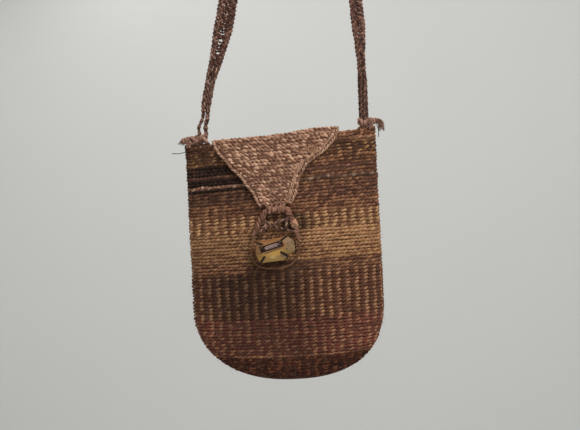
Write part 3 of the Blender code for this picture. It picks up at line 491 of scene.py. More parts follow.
class StrandMesh:
    """Gathers swept strands and makes one object of them."""

    def __init__(self, name: str, sides: int = 7) -> None:
        """Start empty.

        Args:
            name: The object's name.
            sides: Sides of each strand's section.
        """
        self.name = name
        self.sides = sides
        self.points: list[Array] = []
        self.quads: list[Array] = []
        self.caps: list[tuple[int, int, int]] = []
        self.spun: list[Array] = []
        self.tone: list[Array] = []
        self.ply: list[Array] = []
        self.count = 0

    def strand(
        self, middle: Array, side: Array, up: Array, across: Number, high: Number,
        tone: Number, ply: float, closed: bool = False, winding: float = 160.0,
    ) -> None:
        """Sweep one strand of oval section along a line, its faces turned outward.

        Args:
            middle: The strand's middle line.
            side: Direction of the section's first axis at each point.
            up: Direction of its second axis.
            across: Half-size along the first axis.
            high: Half-size along the second axis.
            tone: 0 for the finish's first colour, 1 for its second.
            ply: A number that sets this strand apart in the material.
            closed: Whether the strand is a ring.
            winding: How fast the fibres wind round the strand, in radians to a metre.
        """
        count, sides = len(middle), self.sides
        turn = np.arange(sides) * TAU / sides
        across = np.broadcast_to(across, (count,))[:, None, None]
        high = np.broadcast_to(high, (count,))[:, None, None]
        ring = (
            middle[:, None] + side[:, None] * np.cos(turn)[None, :, None] * across
            + up[:, None] * np.sin(turn)[None, :, None] * high
        )
        length = marks(middle)
        wound = turn[None, :] + winding * length[:, None]
        spun = np.stack([np.cos(wound), np.sin(wound), np.repeat(length[:, None], sides, 1)], 2)
        tones = np.repeat(np.broadcast_to(tone, (count,))[:, None], sides, 1)
        rows = np.arange(count if closed else count - 1)
        i = (rows[:, None] * sides + np.arange(sides)[None, :]).ravel()
        j = (rows[:, None] * sides + (np.arange(sides)[None, :] + 1) % sides).ravel()
        total = count * sides
        quads = np.stack([i, j, (j + sides) % total, (i + sides) % total], 1) + self.count
        mirrored = bool((np.cross(side, up) * np.gradient(middle, axis=0)).sum() < 0)
        self.quads.append(quads[:, ::-1] if mirrored else quads)
        new = [ring.reshape(-1, 3)]
        marked = [spun.reshape(-1, 3)]
        toned = [tones.ravel()]
        if not closed:
            for k, end in enumerate((0, count - 1)):
                tip = self.count + total + k
                for s in range(sides):
                    a, b = self.count + end * sides + s, self.count + end * sides + (s + 1) % sides
                    self.caps.append((a, b, tip) if bool(k) != mirrored else (b, a, tip))
            new.append(middle[[0, -1]])
            marked.append(np.array([[0, 0, 0], [0, 0, length[-1]]]))
            toned.append(tones[[0, -1], 0])
            total += 2
        self.points += new
        self.spun += marked
        self.tone += toned
        self.ply.append(np.full(total, ply))
        self.count += total

    def cord(
        self, points: Array, radius: Number, plies: int, period: float,
        hint: Sequence[float] = BACKWARD, closed: bool = False, seed: float = 0.0, phase: float = 0.0,
        twist: Twist = Twist.RISING, tones: Sequence[Number] = (0.0, 1.0, 0.5),
    ) -> None:
        """A twisted cord along a free line.

        Args:
            points: The cord's middle line.
            radius: Outer radius of the whole cord.
            plies: How many strands it is twisted from.
            period: Length of one full turn.
            hint: First direction square to the line, roughly.
            closed: Whether the cord is a ring.
            seed: A number that sets its strands apart in the material.
            phase: Turn of the strands at the start.
            twist: Which way the strands wind.
            tones: Tone of each strand.
        """
        side, up = rails(points, hint, closed)
        radius = np.broadcast_to(radius, (len(points),))
        thick = {2: 0.56, 3: 0.5}[plies] * radius
        length = marks(points)
        turns = length / period
        if closed:
            whole = length[-1] + np.linalg.norm(points[0] - points[-1])
            turns = length / whole * max(round(whole / period), 1)
        for k in range(plies):
            turn = phase + TAU * (turns * twist.value + k / plies)
            cos, sin = np.cos(turn)[:, None], np.sin(turn)[:, None]
            out = side * cos + up * sin
            self.strand(
                points + out * (radius - thick)[:, None], out, up * cos - side * sin, thick, thick * 1.12,
                tones[k % len(tones)], seed + k * 0.37, closed,
            )

    def lace(
        self, corners: Sequence[Sequence[float]], radius: float, period: float = 7 * MM,
        hint: Sequence[float] = FORWARD, step: float = 0.9 * MM, **rest: Any,
    ) -> None:
        """A two-ply cord on a smooth curve through corners.

        Args:
            corners: The corners, in metres.
            radius: Outer radius of the cord.
            period: Length of one full turn.
            hint: First direction square to the curve, roughly.
            step: How far apart the curve's points lie.
            rest: What else a cord takes, such as its seed.
        """
        self.cord(spread(curve(corners), step), radius, 2, period, hint, **rest)

    def braid(
        self, points: Array, across: Array, face: Array, half_width: Array, half_thick: float, period: float,
        tone: float, seed: float,
    ) -> None:
        """A flat braid of three strands.

        Args:
            points: The braid's middle line.
            across: Direction of its width at each point.
            face: Direction of its thickness.
            half_width: Half of its width at each point.
            half_thick: Half of its thickness.
            period: Length in which a strand comes back to its place.
            tone: Tone of its strands.
            seed: A number that sets its strands apart in the material.
        """
        length = marks(points)
        fat = half_width * 0.5
        for k in range(3):
            turn = TAU * (length / period + k / 3)
            middle = points + across * (np.sin(turn) * (half_width - fat))[:, None]
            middle = middle + face * (np.sin(2 * turn) * half_thick * 0.5)[:, None]
            self.strand(
                middle, across, face, fat, half_thick * 0.62, tone + 0.35 * (k - 1), seed + k * 0.43,
                winding=200,
            )

    def coil(
        self, middle: Array, axis: Sequence[float], length: float, major: float, thick: float, wide: float,
        turns: float, rng: np.random.Generator, wander: float = 0.2, seed: float = 0.0,
    ) -> None:
        """Wind a yarn round an axis.

        Args:
            middle: The coil's middle.
            axis: Its axis.
            length: How far it winds along the axis.
            major: Distance of the yarn's middle from the axis.
            thick: Half-size of the yarn away from the axis.
            wide: Half-size of the yarn along the axis.
            turns: Number of turns.
            rng: Source of its small irregularities.
            wander: How irregular it is, as a share of the yarn.
            seed: A number that sets it apart in the material.
        """
        count = max(int(turns * 22), 12)
        share = np.linspace(0, 1, count)
        axis = unit(np.asarray(axis, float))
        first = unit(np.cross(axis, (0.31, 0.93, 0.17)))
        second = np.cross(axis, first)
        turn = share * turns * TAU + rng.uniform(0, TAU)
        lumps = int(turns * 4) + 4
        wave = [np.interp(share, np.linspace(0, 1, lumps), rng.normal(size=lumps)) * wander for _ in range(3)]
        radial = first * np.cos(turn)[:, None] + second * np.sin(turn)[:, None]
        points = middle + axis * (length * (share - 0.5) + wave[0] * wide)[:, None]
        points = points + radial * (major * (1 + wave[1] * 0.3))[:, None]
        ahead = unit(np.gradient(points, axis=0))
        plump = 1 + wave[2] * 0.5
        self.strand(points, radial, np.cross(ahead, radial), thick * plump, wide * plump, 0.5 + wave[2], seed)

    def build(self, finish: "Finish", body: Optional[Body], replaces: Sequence[str] = ()) -> bpy.types.Object:
        """Make the object, dress it and hang it on its body.

        Args:
            finish: The finish that draws the material.
            body: The body it rides on, or None.
            replaces: The CAD nodes that it stands for.

        Returns:
            The object.
        """
        mesh = bpy.data.meshes.new(self.name)
        faces = np.vstack(self.quads).tolist() + [list(cap) for cap in self.caps]
        mesh.from_pydata(np.vstack(self.points).tolist(), [], faces)
        write(mesh, "spun", np.vstack(self.spun))
        write(mesh, "tone", np.concatenate(self.tone))
        write(mesh, "ply", np.concatenate(self.ply))
        return piece(mesh, finish, body, replaces)


MATERIALS: dict[str, bpy.types.Material] = {}


def material_of(finish: "Finish") -> bpy.types.Material:
    """The finish's material, drawn once."""
    if finish.name not in MATERIALS:
        MATERIALS[finish.name] = finish.material()
    return MATERIALS[finish.name]


def write(mesh: bpy.types.Mesh, name: str, values: Array) -> None:
    """Write a number or a vector for each point of a mesh.

    Args:
        mesh: The mesh.
        name: The attribute's name.
        values: One number or one vector to a point.
    """
    kind, key = ("FLOAT_VECTOR", "vector") if values.ndim == 2 else ("FLOAT", "value")
    mesh.attributes.new(name, kind, "POINT").data.foreach_set(key, values.astype(np.float32).ravel())


def piece(
    mesh: bpy.types.Mesh, finish: "Finish", body: Optional[Body] = None, replaces: Sequence[str] = (),
) -> bpy.types.Object:
    """Make an object of a mesh, dress it and hang it on its body.

    Args:
        mesh: The mesh, which gives the object its name.
        finish: The finish that draws the material.
        body: The body it rides on, or None.
        replaces: The CAD nodes that it stands for.

    Returns:
        The object.
    """
    mesh.shade_smooth()
    mesh.materials.append(material_of(finish))
    obj = bpy.data.objects.new(mesh.name, mesh)
    bpy.context.scene.collection.objects.link(obj)
    if replaces:
        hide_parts(*replaces)
    if body:
        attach(obj, body.value)
    LOG.info("%s: %d faces", mesh.name, len(mesh.polygons))
    return obj


def thin_sheet(name: str, grid: Array, thickness: float, finish: YarnFinish) -> bpy.types.Object:
    """A closed thin sheet from a grid of middle points.

    Args:
        name: The object's name.
        grid: The points, rows by columns.
        thickness: The sheet's thickness.
        finish: Its finish.

    Returns:
        The object, on no body.
    """
    rows, columns, _ = grid.shape
    normal = unit(np.cross(np.gradient(grid, axis=0), np.gradient(grid, axis=1)))
    points = np.concatenate([grid + normal * thickness / 2, grid - normal * thickness / 2]).reshape(-1, 3)
    size = rows * columns
    number = np.arange(size).reshape(rows, columns)
    faces = []
    for a, b in zip(number[:-1, :-1].ravel().tolist(), number[1:, :-1].ravel().tolist()):
        faces += [(a, b, b + 1, a + 1), (size + a, size + a + 1, size + b + 1, size + b)]
    rim = np.concatenate([number[0], number[1:, -1], number[-1, -2::-1], number[-2:0:-1, 0]]).tolist()
    faces += [(a, b, size + b, size + a) for a, b in zip(rim, rim[1:] + rim[:1])]
    mesh = bpy.data.meshes.new(name)
    mesh.from_pydata(points.tolist(), [], faces)
    return piece(mesh, finish)


@dataclass(frozen=True)
class Palette:
    """Every finish on the bag."""

    pale: YarnFinish = YarnFinish(
        "pale_yarn", "pale", dyed(188, 148, 116), dyed(166, 124, 96), dyed(124, 86, 66), 0.32
    )
    rim: YarnFinish = YarnFinish(
        "rim_yarn", "pale", dyed(166, 120, 94), dyed(140, 98, 72), dyed(98, 66, 48), 0.38,
        dark_place=-120 * MM, dark_share=0.15,
    )
    olive: YarnFinish = YarnFinish(
        "olive_brown_yarn", "dark", dyed(114, 78, 50), dyed(154, 114, 76), dyed(74, 48, 34), 0.44,
        dark_place=-120 * MM, dark_share=0.22,
    )
    # Umber rows much darker towards the left: partly darker yarn, partly painted shade beside the flap's left
    # edge.
    umber: YarnFinish = YarnFinish(
        "umber_yarn", "dark", dyed(118, 80, 57), dyed(148, 104, 74), dyed(80, 51, 36), 0.4,
        dark_place=-118 * MM, dark_width=118 * MM, dark_share=0.94,
    )
    mauve: YarnFinish = YarnFinish(
        "mauve_brown_yarn", "dark", dyed(108, 72, 53), dyed(138, 96, 71), dyed(76, 48, 37), 0.38,
        dark_place=-130 * MM, dark_width=130 * MM, dark_share=0.48,
    )
    brown: YarnFinish = YarnFinish(
        "warm_brown_yarn", "dark", dyed(122, 80, 56), dyed(152, 108, 76), dyed(86, 54, 40), 0.38,
        dark_place=-100 * MM, dark_width=130 * MM, dark_share=0.16,
    )
    # Cocoa rows darkened below the button: painted shadow of the button.
    cocoa: YarnFinish = YarnFinish(
        "cocoa_yarn", "dark", dyed(120, 82, 58), dyed(146, 104, 74), dyed(86, 56, 42), 0.38,
        dark_place=-32 * MM, dark_width=62 * MM, dark_share=0.55,
    )
    # Checker rows darkened about the loop: painted shade under the flap's tip and the loop.
    checker: YarnFinish = YarnFinish(
        "checker_yarn", "tan", dyed(96, 63, 43), dyed(177, 136, 97), dyed(134, 95, 66), 0.36,
        dark_place=-13 * MM, dark_width=25 * MM, dark_share=0.66,
    )
    tan: YarnFinish = YarnFinish(
        "tan_yarn", "tan", dyed(158, 116, 80), dyed(174, 131, 93), dyed(126, 88, 61), 0.34,
        dark_place=-120 * MM, dark_width=120 * MM, dark_share=0.24,
    )
    sand: YarnFinish = YarnFinish(
        "sand_yarn", "tan", dyed(150, 108, 73), dyed(168, 125, 87), dyed(116, 79, 54), 0.36,
        dark_place=-120 * MM, dark_width=120 * MM, dark_share=0.28,
    )
    # Ticked rows darkened about dark_place: partly darker yarn, partly painted shadow below the button.
    ticked: YarnFinish = YarnFinish(
        "ticked_yarn", "dark", dyed(87, 54, 38), dyed(154, 112, 81), dyed(86, 53, 38), 0.36, mottle=0.5,
        dark_place=-62 * MM, dark_width=78 * MM, dark_share=0.66,
    )
    ridge: YarnFinish = YarnFinish(
        "ridge_yarn", "pale", dyed(128, 88, 70), dyed(98, 66, 51), dyed(84, 56, 44), 0.42,
        dark_place=-118 * MM, dark_width=100 * MM, dark_share=0.4,
    )
    ridge_pale: YarnFinish = YarnFinish(
        "pale_ridge_yarn", "pale", dyed(188, 156, 130), dyed(116, 82, 65), dyed(104, 72, 57), 0.44, 9 * MM,
        dark_place=82 * MM, dark_width=140 * MM, dark_share=0.52,
    )
    rosy: YarnFinish = YarnFinish(
        "rosy_brown_yarn", "dark", dyed(112, 62, 48), dyed(150, 104, 78), dyed(88, 52, 41), 0.36, mottle=0.6,
        dark_place=-50 * MM, dark_width=90 * MM, dark_share=0.46,
    )
    russet: YarnFinish = YarnFinish(
        "russet_yarn", "dark", dyed(63, 31, 19), dyed(100, 58, 38), dyed(46, 23, 15), 0.38
    )
    flap: YarnFinish = YarnFinish(
        "flap_yarn", "tan", dyed(161, 121, 97), dyed(203, 163, 135), dyed(114, 79, 62), 0.4
    )
    strap: YarnFinish = YarnFinish(
        "rose_brown_yarn", "rose", dyed(108, 76, 63), dyed(162, 128, 111), dyed(66, 44, 37), 0.4, 9 * MM
    )
    rung: YarnFinish = YarnFinish(
        "dark_rose_yarn", "rose", dyed(88, 56, 46), dyed(150, 114, 98), dyed(60, 39, 33), 0.4, 9 * MM
    )
    knot: YarnFinish = YarnFinish(
        "rose_knot_yarn", "rose", dyed(178, 139, 120), dyed(146, 108, 91), dyed(98, 69, 57), 0.38
    )
    # Dark colour of the pouch's middle sheet: painted shade in the gaps between the rows.
    shade: YarnFinish = YarnFinish(
        "inner_yarn", "dark", dyed(80, 54, 40), dyed(92, 64, 48), dyed(56, 36, 28), 0.4
    )
    border: YarnFinish = YarnFinish(
        "flap_border_yarn", "pale", dyed(194, 156, 130), dyed(168, 130, 106), dyed(124, 88, 70), 0.36
    )
    whipping: YarnFinish = YarnFinish(
        "tip_yarn", "pale", dyed(170, 130, 106), dyed(140, 100, 80), dyed(104, 70, 56), 0.4
    )
    # Darker colour of the flap's middle sheet: painted shade between its rows.
    flap_shade: YarnFinish = YarnFinish(
        "flap_inner_yarn", "tan", dyed(120, 88, 70), dyed(132, 98, 80), dyed(92, 62, 50), 0.4
    )
    # Second colour: the loop's darker tone, also used as painted shade on its lower part.
    loop: YarnFinish = YarnFinish(
        "loop_yarn", "rose", dyed(144, 104, 85), dyed(116, 82, 58), dyed(90, 61, 45), 0.36
    )
    lashing: YarnFinish = YarnFinish(
        "dark_lashing", "dark", dyed(58, 44, 42), dyed(72, 54, 48), dyed(40, 28, 28), 0.3
    )
    hair: YarnFinish = YarnFinish(
        "loose_fibre", "pale", dyed(176, 146, 118), dyed(140, 106, 84), dyed(104, 74, 58), 0.3
    )
    # Second colour: the cord's darker plies, and painted shade where it enters the holes.
    cord: YarnFinish = YarnFinish(
        "grey_pink_cord", "grey_cord", dyed(168, 140, 136), dyed(50, 36, 34), dyed(112, 86, 84), 0.3
    )
    thread: YarnFinish = YarnFinish(
        "navy_thread", "navy_thread", dyed(34, 36, 58), dyed(44, 46, 70), dyed(24, 24, 40), 0.3
    )
    button: CarvedFinish = CarvedFinish(
        "carved_ochre", "carved_button", dyed(138, 94, 52), dyed(170, 132, 60), dyed(136, 116, 84),
        dyed(80, 52, 29), dyed(36, 23, 19), dyed(222, 196, 132),
    )


PALETTE = Palette()
Finish = Union[YarnFinish, CarvedFinish]


@dataclass(frozen=True)
class Stripe:
    """A band of rows in one pair of yarns."""

    name: str
    until: float
    finish: YarnFinish
    stagger: bool = False
    thick: float = 1.0
    tuck: float = 0.0
    drift: float = 0.2
    slide: float = 1.1
    wander: float = 1.0


@dataclass
class Pouch:
    """The twined body: rows of two strands wound round each other, from the rim to the bottom."""

    round_height: float = 81 * MM
    rim_rise: float = 11 * MM
    mouth_front: float = 9.5 * MM
    mouth_back: float = 8.5 * MM
    back_full: float = 15.5 * MM
    wall: float = 3 * MM
    section_power: float = 2.5
    bottom_power: float = 2.3
    end_gather: float = 0.2
    bottom_aside: float = 5 * MM
    row_pitch: float = 3.55 * MM
    stitch: float = 4.9 * MM
    strand_across: float = 0.98 * MM
    strand_high: float = 1.42 * MM
    wind_across: float = 0.72 * MM
    wind_high: float = 0.5 * MM
    samples: int = 5
    dense: int = 1440
    wander: float = 0.3 * MM
    drift_knots: int = 40
    slide_knots: int = 24
    sag: float = 0.35 * MM
    sag_inward: float = 0.22 * MM
    edge_lift: float = 1.0 * MM
    probe: float = 0.4 * MM
    sheet_thickness: float = 0.3 * MM
    rng: np.random.Generator = field(default_factory=lambda: np.random.default_rng(11))
    stripes: tuple[Stripe, ...] = (
        Stripe("rows_rim", 7 * MM, PALETTE.rim, thick=1.05),
        Stripe("rows_olive", 20 * MM, PALETTE.olive),
        Stripe("rows_umber_upper", 33.5 * MM, PALETTE.umber),
        Stripe("rows_ridge_upper", 37 * MM, PALETTE.ridge, thick=1.08, drift=0.2, slide=1.2, wander=1.8),
        Stripe("rows_umber_middle", 42 * MM, PALETTE.umber),
        Stripe("rows_ridge", 45.6 * MM, PALETTE.ridge_pale, thick=1.22, drift=0.2, slide=0.9, wander=2.4),
        Stripe("rows_umber_lower", 50 * MM, PALETTE.umber),
        Stripe("rows_mauve", 64 * MM, PALETTE.mauve),
        Stripe("rows_mauve_lower", 79 * MM, PALETTE.brown),
        Stripe("rows_checker", 93 * MM, PALETTE.checker, thick=1.06, slide=0.35),
        Stripe("rows_checker_rope", 97 * MM, PALETTE.checker, True, 1.14),
        Stripe("rows_tan", 112 * MM, PALETTE.tan),
        Stripe("rows_tan_lower", 128 * MM, PALETTE.sand),
        Stripe("rows_cocoa", 138 * MM, PALETTE.cocoa),
        Stripe("rows_ticked", 164 * MM, PALETTE.ticked, tuck=0.3 * MM, drift=0.1, slide=0.3),
        Stripe("rows_ticked_lower", 187 * MM, PALETTE.ticked, tuck=0.3 * MM, drift=0.1, slide=0.3),
        Stripe("rows_rosy", 208 * MM, PALETTE.rosy, tuck=0.15 * MM, drift=0.16, slide=0.5),
        Stripe("rows_rosy_lower", 226 * MM, PALETTE.rosy, tuck=0.05 * MM, slide=0.9),
        Stripe("rows_light_line", 231 * MM, PALETTE.brown),
        Stripe("rows_russet", 260 * MM, PALETTE.russet),
    )

    def __post_init__(self) -> None:
        """Read the pouch's place from the frame."""
        low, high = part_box("pouch")
        self.middle_x = (low[0] + high[0]) / 2
        self.half_width = (high[0] - low[0]) / 2
        self.front_full = -low[1]
        self.back_flat = high[1]
        self.bottom = low[2]
        self.rim = high[2] - self.rim_rise / 2
        self.height = self.rim - self.bottom
        self.side_height = self.height - self.round_height
        self.round_start = self.bottom + self.round_height
        slope = math.atan2(self.rim_rise, 2 * self.half_width)
        self.along = np.array((math.cos(slope), 0, math.sin(slope)))
        self.above = np.array((-math.sin(slope), 0, math.cos(slope)))

    def rim_point(self, along: Number, back: Number, above: Number) -> Array:
        """Points given along the rim from its middle, backward and above it."""
        shifts = [np.asarray(value, float)[..., None] for value in (along, back, above)]
        along, back, above = np.broadcast_arrays(*shifts)
        middle = np.array((self.middle_x, 0, self.rim))
        return middle + along * self.along + back * np.array(BACKWARD) + above * self.above

    def rim_height(self, x: Number) -> Number:
        """Height of the rim line at x."""
        return self.rim + self.rim_rise * (x - self.middle_x) / (2 * self.half_width)

    def front_depth(self, x: Number, z: Number) -> Array:
        """How far the front stands out at x and z, above the round bottom."""
        share = np.clip((z - self.round_start) / (self.rim_height(x) - self.round_start), 0, 1)
        out = np.clip(np.abs(x - self.middle_x) / self.half_width, 0, 1)
        section = (1 - out ** self.section_power) ** (1 / self.section_power)
        swell = (self.front_full - self.mouth_front) * np.cos(share * math.pi / 2)
        return (self.mouth_front + swell) * section

    def ring(self, depth: float) -> Array:
        """One row's line on the outer surface, from the back's middle round by the left side.

        Args:
            depth: How far the row lies below the rim, at the front's middle.

        Returns:
            Points round the pouch, not closed on themselves.
        """
        angle = -math.pi / 2 - np.arange(self.dense) * TAU / self.dense
        cos, sin = np.cos(angle), np.sin(angle)
        across = signed_power(cos, 2 / self.section_power)
        if depth <= self.side_height:
            share = 1 - depth / self.side_height
            swell = math.cos(share * math.pi / 2)
            front = self.mouth_front + (self.front_full - self.mouth_front) * swell
            back = self.mouth_back + (self.back_full - self.mouth_back) * swell
            x = self.middle_x + self.half_width * across
            y = -signed_power(sin, 2 / self.section_power) * np.where(sin > 0, front, back)
            z = self.round_start + share * (self.rim_height(x) - self.round_start)
        else:
            t = min((depth - self.side_height) / self.round_height, 0.999)
            power = self.bottom_power
            end = t - self.end_gather * t ** 5
            round_share = (t - end) / (1 - end)
            out = (1 - end ** power) ** (1 / power) * np.abs(across)
            low, high = np.full_like(out, 0), np.full_like(out, 1)
            for _ in range(40):
                drop = (low + high) / 2
                level = (1 - round_share) * drop + round_share * (out ** power + drop ** power) ** (1 / power)
                low, high = np.where(level < t, drop, low), np.where(level < t, high, drop)
            scale = np.maximum((1 - drop ** power) ** (1 / power), 1e-6)
            section = np.clip(1 - (out / scale) ** self.section_power, 0, 1) ** (1 / self.section_power)
            x = self.middle_x + self.half_width * out * np.sign(across) + self.bottom_aside * drop ** 2
            y = -np.sign(sin) * np.where(sin > 0, self.front_full, self.back_full) * scale * section
            z = self.round_start - drop * self.round_height
        return np.stack([x, np.minimum(y, self.back_flat), z], 1)

    def row(self, depth: float, lift: float = 0.0) -> tuple[Array, Array, Array, Array, int]:
        """Middle line of a row in the wall, with its directions.

        Args:
            depth: How far the row lies below the rim.
            lift: How far the row is raised above that.

        Returns:
            Points, outward directions, upward directions, the rows' own spacing there as a share of
            the pitch, and the number of stitches.
        """
        line = self.ring(depth)
        if depth > self.probe:
            above = (self.ring(depth - self.probe) - line) / self.probe
        else:
            above = np.tile((0, 0, 1.0), (self.dense, 1))
        closed = np.vstack([line, line[:1]])
        known = marks(closed)
        stitches = int(round(known[-1] / self.stitch / 2)) * 2
        if depth <= self.side_height:
            stitches = self.side_stitches
        wanted = np.linspace(0, known[-1], stitches * self.samples, endpoint=False)
        points = at_marks(closed, known, wanted)
        rise = at_marks(np.vstack([above, above[:1]]), known, wanted)
        ahead = unit(np.roll(points, -1, 0) - np.roll(points, 1, 0))
        rise = rise - ahead * (rise * ahead).sum(1, keepdims=True)
        spacing = np.linalg.norm(rise, axis=1)
        up = unit(rise)
        out = np.cross(ahead, up)
        points = points - out * self.wall / 2 + np.array((0, 0, lift))
        return points, out, up, np.clip(spacing, 0.35, 1.25), stitches

    def around(self, way: Array, knots: int, size: float = 1.0) -> Array:
        """A random wave that comes back to its start, with one draw to each knot."""
        values = self.rng.normal(size=knots) * size
        return np.interp(way * knots, np.arange(knots + 1), np.append(values, values[0]))

    def twine(self, mesh: StrandMesh, depth: float, stripe: Stripe, lift: float = 0.0) -> None:
        """Wind one row's two strands into a mesh.

        Args:
            mesh: The mesh that gets them.
            depth: How far the row lies below the rim.
            stripe: The stripe it belongs to.
            lift: How far the row is raised.
        """
        points, out, up, spacing, stitches = self.row(depth, lift)
        count = len(points)
        index = int(round(depth / self.row_pitch))
        way = np.arange(count) / count
        drift = self.around(way, self.drift_knots) * self.wander * stripe.wander
        points = points + up * drift[:, None] * 0.7
        hills = np.sin(points[:, 0] * 41 + points[:, 2] * 17) * np.sin(points[:, 2] * 37 + 1.3)
        sag = hills * self.sag - self.sag_inward
        points = points + out * (sag + np.roll(drift, count // 3) * 0.6)[:, None]
        plump = 1 + 0.13 * np.repeat(self.rng.normal(size=stitches), self.samples).clip(-1.6, 1.6)
        plump = (plump + np.roll(plump, 1) + np.roll(plump, -1)) / 3
        turn = (way - 0.5) * stitches * math.pi + (math.pi if stripe.stagger and index % 2 else 0)
        turn = turn + self.around(way, self.slide_knots, stripe.slide)
        thick = stripe.thick * (1 + self.rng.normal() * 0.05)
        for k in range(2):
            cos, sin = np.cos(turn + k * math.pi)[:, None], np.sin(turn + k * math.pi)[:, None]
            deep = stripe.tuck * (1 - 2 * k)
            middle = points + out * (cos * self.wind_across + deep)
            middle = middle + up * sin * self.wind_high * spacing[:, None]
            bulge = plump * (0.93 + 0.15 * cos[:, 0])
            tone = k + self.rng.normal() * stripe.drift
            mesh.strand(
                middle, out, up, self.strand_across * thick * bulge,
                self.strand_high * thick * spacing * bulge, tone, index * 0.71 + k * 5.3, True,
            )

    def build(self) -> None:
        """Build the rows, the mouth's edge, the inner wall and the corners' stitches."""
        rim_line = self.ring(self.side_height * 0.5)
        length = marks(np.vstack([rim_line, rim_line[:1]]))[-1]
        self.side_stitches = int(round(length / self.stitch / 2)) * 2
        depth = self.row_pitch / 2
        for number, stripe in enumerate(self.stripes):
            mesh = StrandMesh(stripe.name)
            while depth < min(stripe.until, self.height - self.row_pitch * 0.4):
                self.twine(mesh, depth, stripe)
                depth += self.row_pitch
            mesh.build(stripe.finish, Body.POUCH, ("pouch",) if number == 0 else ())
        edge = StrandMesh("mouth_edge_rows")
        self.twine(edge, 0.0, self.stripes[0], self.edge_lift)
        edge.build(PALETTE.rim, Body.POUCH, ("mouth_edging",))
        self.build_wall()

    def build_wall(self) -> None:
        """The wall's middle sheet, which closes the gaps between the rows; its dark colour is painted shade
        in those gaps.
        """
        around, levels = 96, 14
        bottom = np.sin(np.linspace(0.12, 1, levels) * math.pi / 2) * 0.995
        depths = [
            *np.linspace(0.5 * MM, self.side_height, levels),
            *(self.side_height + self.round_height * bottom),
        ]
        pick = np.arange(around) * self.dense // around
        rings = []
        for depth in depths:
            line = self.ring(depth)
            ahead = unit(np.roll(line, -1, 0) - np.roll(line, 1, 0))
            out = unit(np.cross(ahead, (0, 0, 1)))
            rings.append((line - out * self.wall * 0.5)[pick])
        mesh = bpy.data.meshes.new("pouch_warp_wall")
        last, quarter = (len(rings) - 1) * around, around // 4
        faces = []
        for i in range(0, last, around):
            for j in range(around):
                k = (j + 1) % around
                faces.append((i + j, i + k, i + around + k, i + around + j))
        faces += [
            tuple(last + (quarter + k) % around for k in (j, j + 1, -2 - j, -1 - j))
            for j in range(around // 2 - 1)
        ]
        mesh.from_pydata(np.vstack(rings).tolist(), [], faces)
        shell = piece(mesh, PALETTE.shade, Body.POUCH).modifiers.new("thickness", "SOLIDIFY")
        shell.thickness = self.sheet_thickness
        shell.offset = 0


@dataclass
class MouthCorner:
    """Stitches, cushion cords and laces at one end of the mouth, under the strap's knot."""

    pouch: Pouch
    side: Side
    finish: YarnFinish
    stitches: int
    cushion: float
    rise: float
    laces: tuple[float, ...] = ()
    first: float = 99 * MM
    pitch: float = 4.6 * MM
    reach: float = 101.5 * MM
    cushion_places: tuple[float, ...] = (-4.6 * MM, -2.2 * MM, 0.6 * MM)
    cushion_radius: float = 1.25 * MM
    lace_reach: float = 101.2 * MM
    lace_end: float = 74 * MM
    lace_radius: float = 1.15 * MM

    def build(self) -> None:
        """Build the corner as one piece."""
        mesh = StrandMesh("corner_stitches_" + self.side.name.lower(), 8)
        for k in range(self.stitches):
            self.stitch(mesh, k)
        for k, back in enumerate(self.cushion_places):
            along = np.linspace(self.reach, self.reach - self.cushion, 24)
            wave = np.sin(np.arange(24) * 0.8 + k * 2) * 0.35 * MM
            above = self.rise - 0.35 * MM * (k - 1) ** 2 + wave
            line = self.pouch.rim_point(self.side.value * along, back + wave, above)
            mesh.cord(spread(line, 0.9 * MM), self.cushion_radius, 2, 6 * MM, seed=k * 3.3)
        for above in self.laces:
            along = np.linspace(self.lace_reach, self.lace_end - above, 30)
            wave = np.sin(np.arange(30) * 0.5 + above / MM) * 0.4 * MM
            line = self.pouch.rim_point(self.side.value * along, 0, above + wave)
            depth = self.pouch.front_depth(line[:, 0], np.minimum(line[:, 2], self.pouch.rim))
            line[:, 1] = -np.maximum(depth, 1.5 * MM) - 0.9 * MM
            mesh.cord(spread(line, 0.9 * MM), self.lace_radius, 2, 6.5 * MM, FORWARD, seed=above / MM)
        mesh.build(self.finish, Body.POUCH)

    def stitch(self, mesh: StrandMesh, number: int) -> None:
        """One slanting stitch from the front over the rim.

        Args:
            mesh: The mesh that gets it.
            number: The stitch's number from the corner inward.
        """
        rng, pouch = self.pouch.rng, self.pouch
        start = self.first - number * self.pitch + rng.normal() * 0.6 * MM
        lean = rng.normal() * 2.6 * MM + 3.4 * MM
        low = rng.uniform(0.6, 2.6)
        corners = []
        for share, off, above in (
            (0, 0.4, -low), (0, 1.5, 1.6 - low), (0.5, 1.3, -1.0),
            (0.8, 0.2, 3.6), (1, -2.2, 4.0), (1, -4.6, 1.4),
        ):
            along = min(start + lean * share, pouch.half_width - 1.2 * MM)
            spot = pouch.rim_point(self.side.value * along, 0, above * MM)
            depth = float(pouch.front_depth(spot[0], min(spot[2], pouch.rim_height(spot[0]))))
            spot[1] = -(max(depth, 1.2 * MM) + off * MM * (0.5 if depth < 4 * MM else 1))
            corners.append(spot)
        radius = rng.uniform(0.85, 1.2) * MM
        mesh.lace(corners, radius, 6.5 * MM, RIGHTWARD, seed=number * 1.7, phase=rng.uniform(0, TAU))


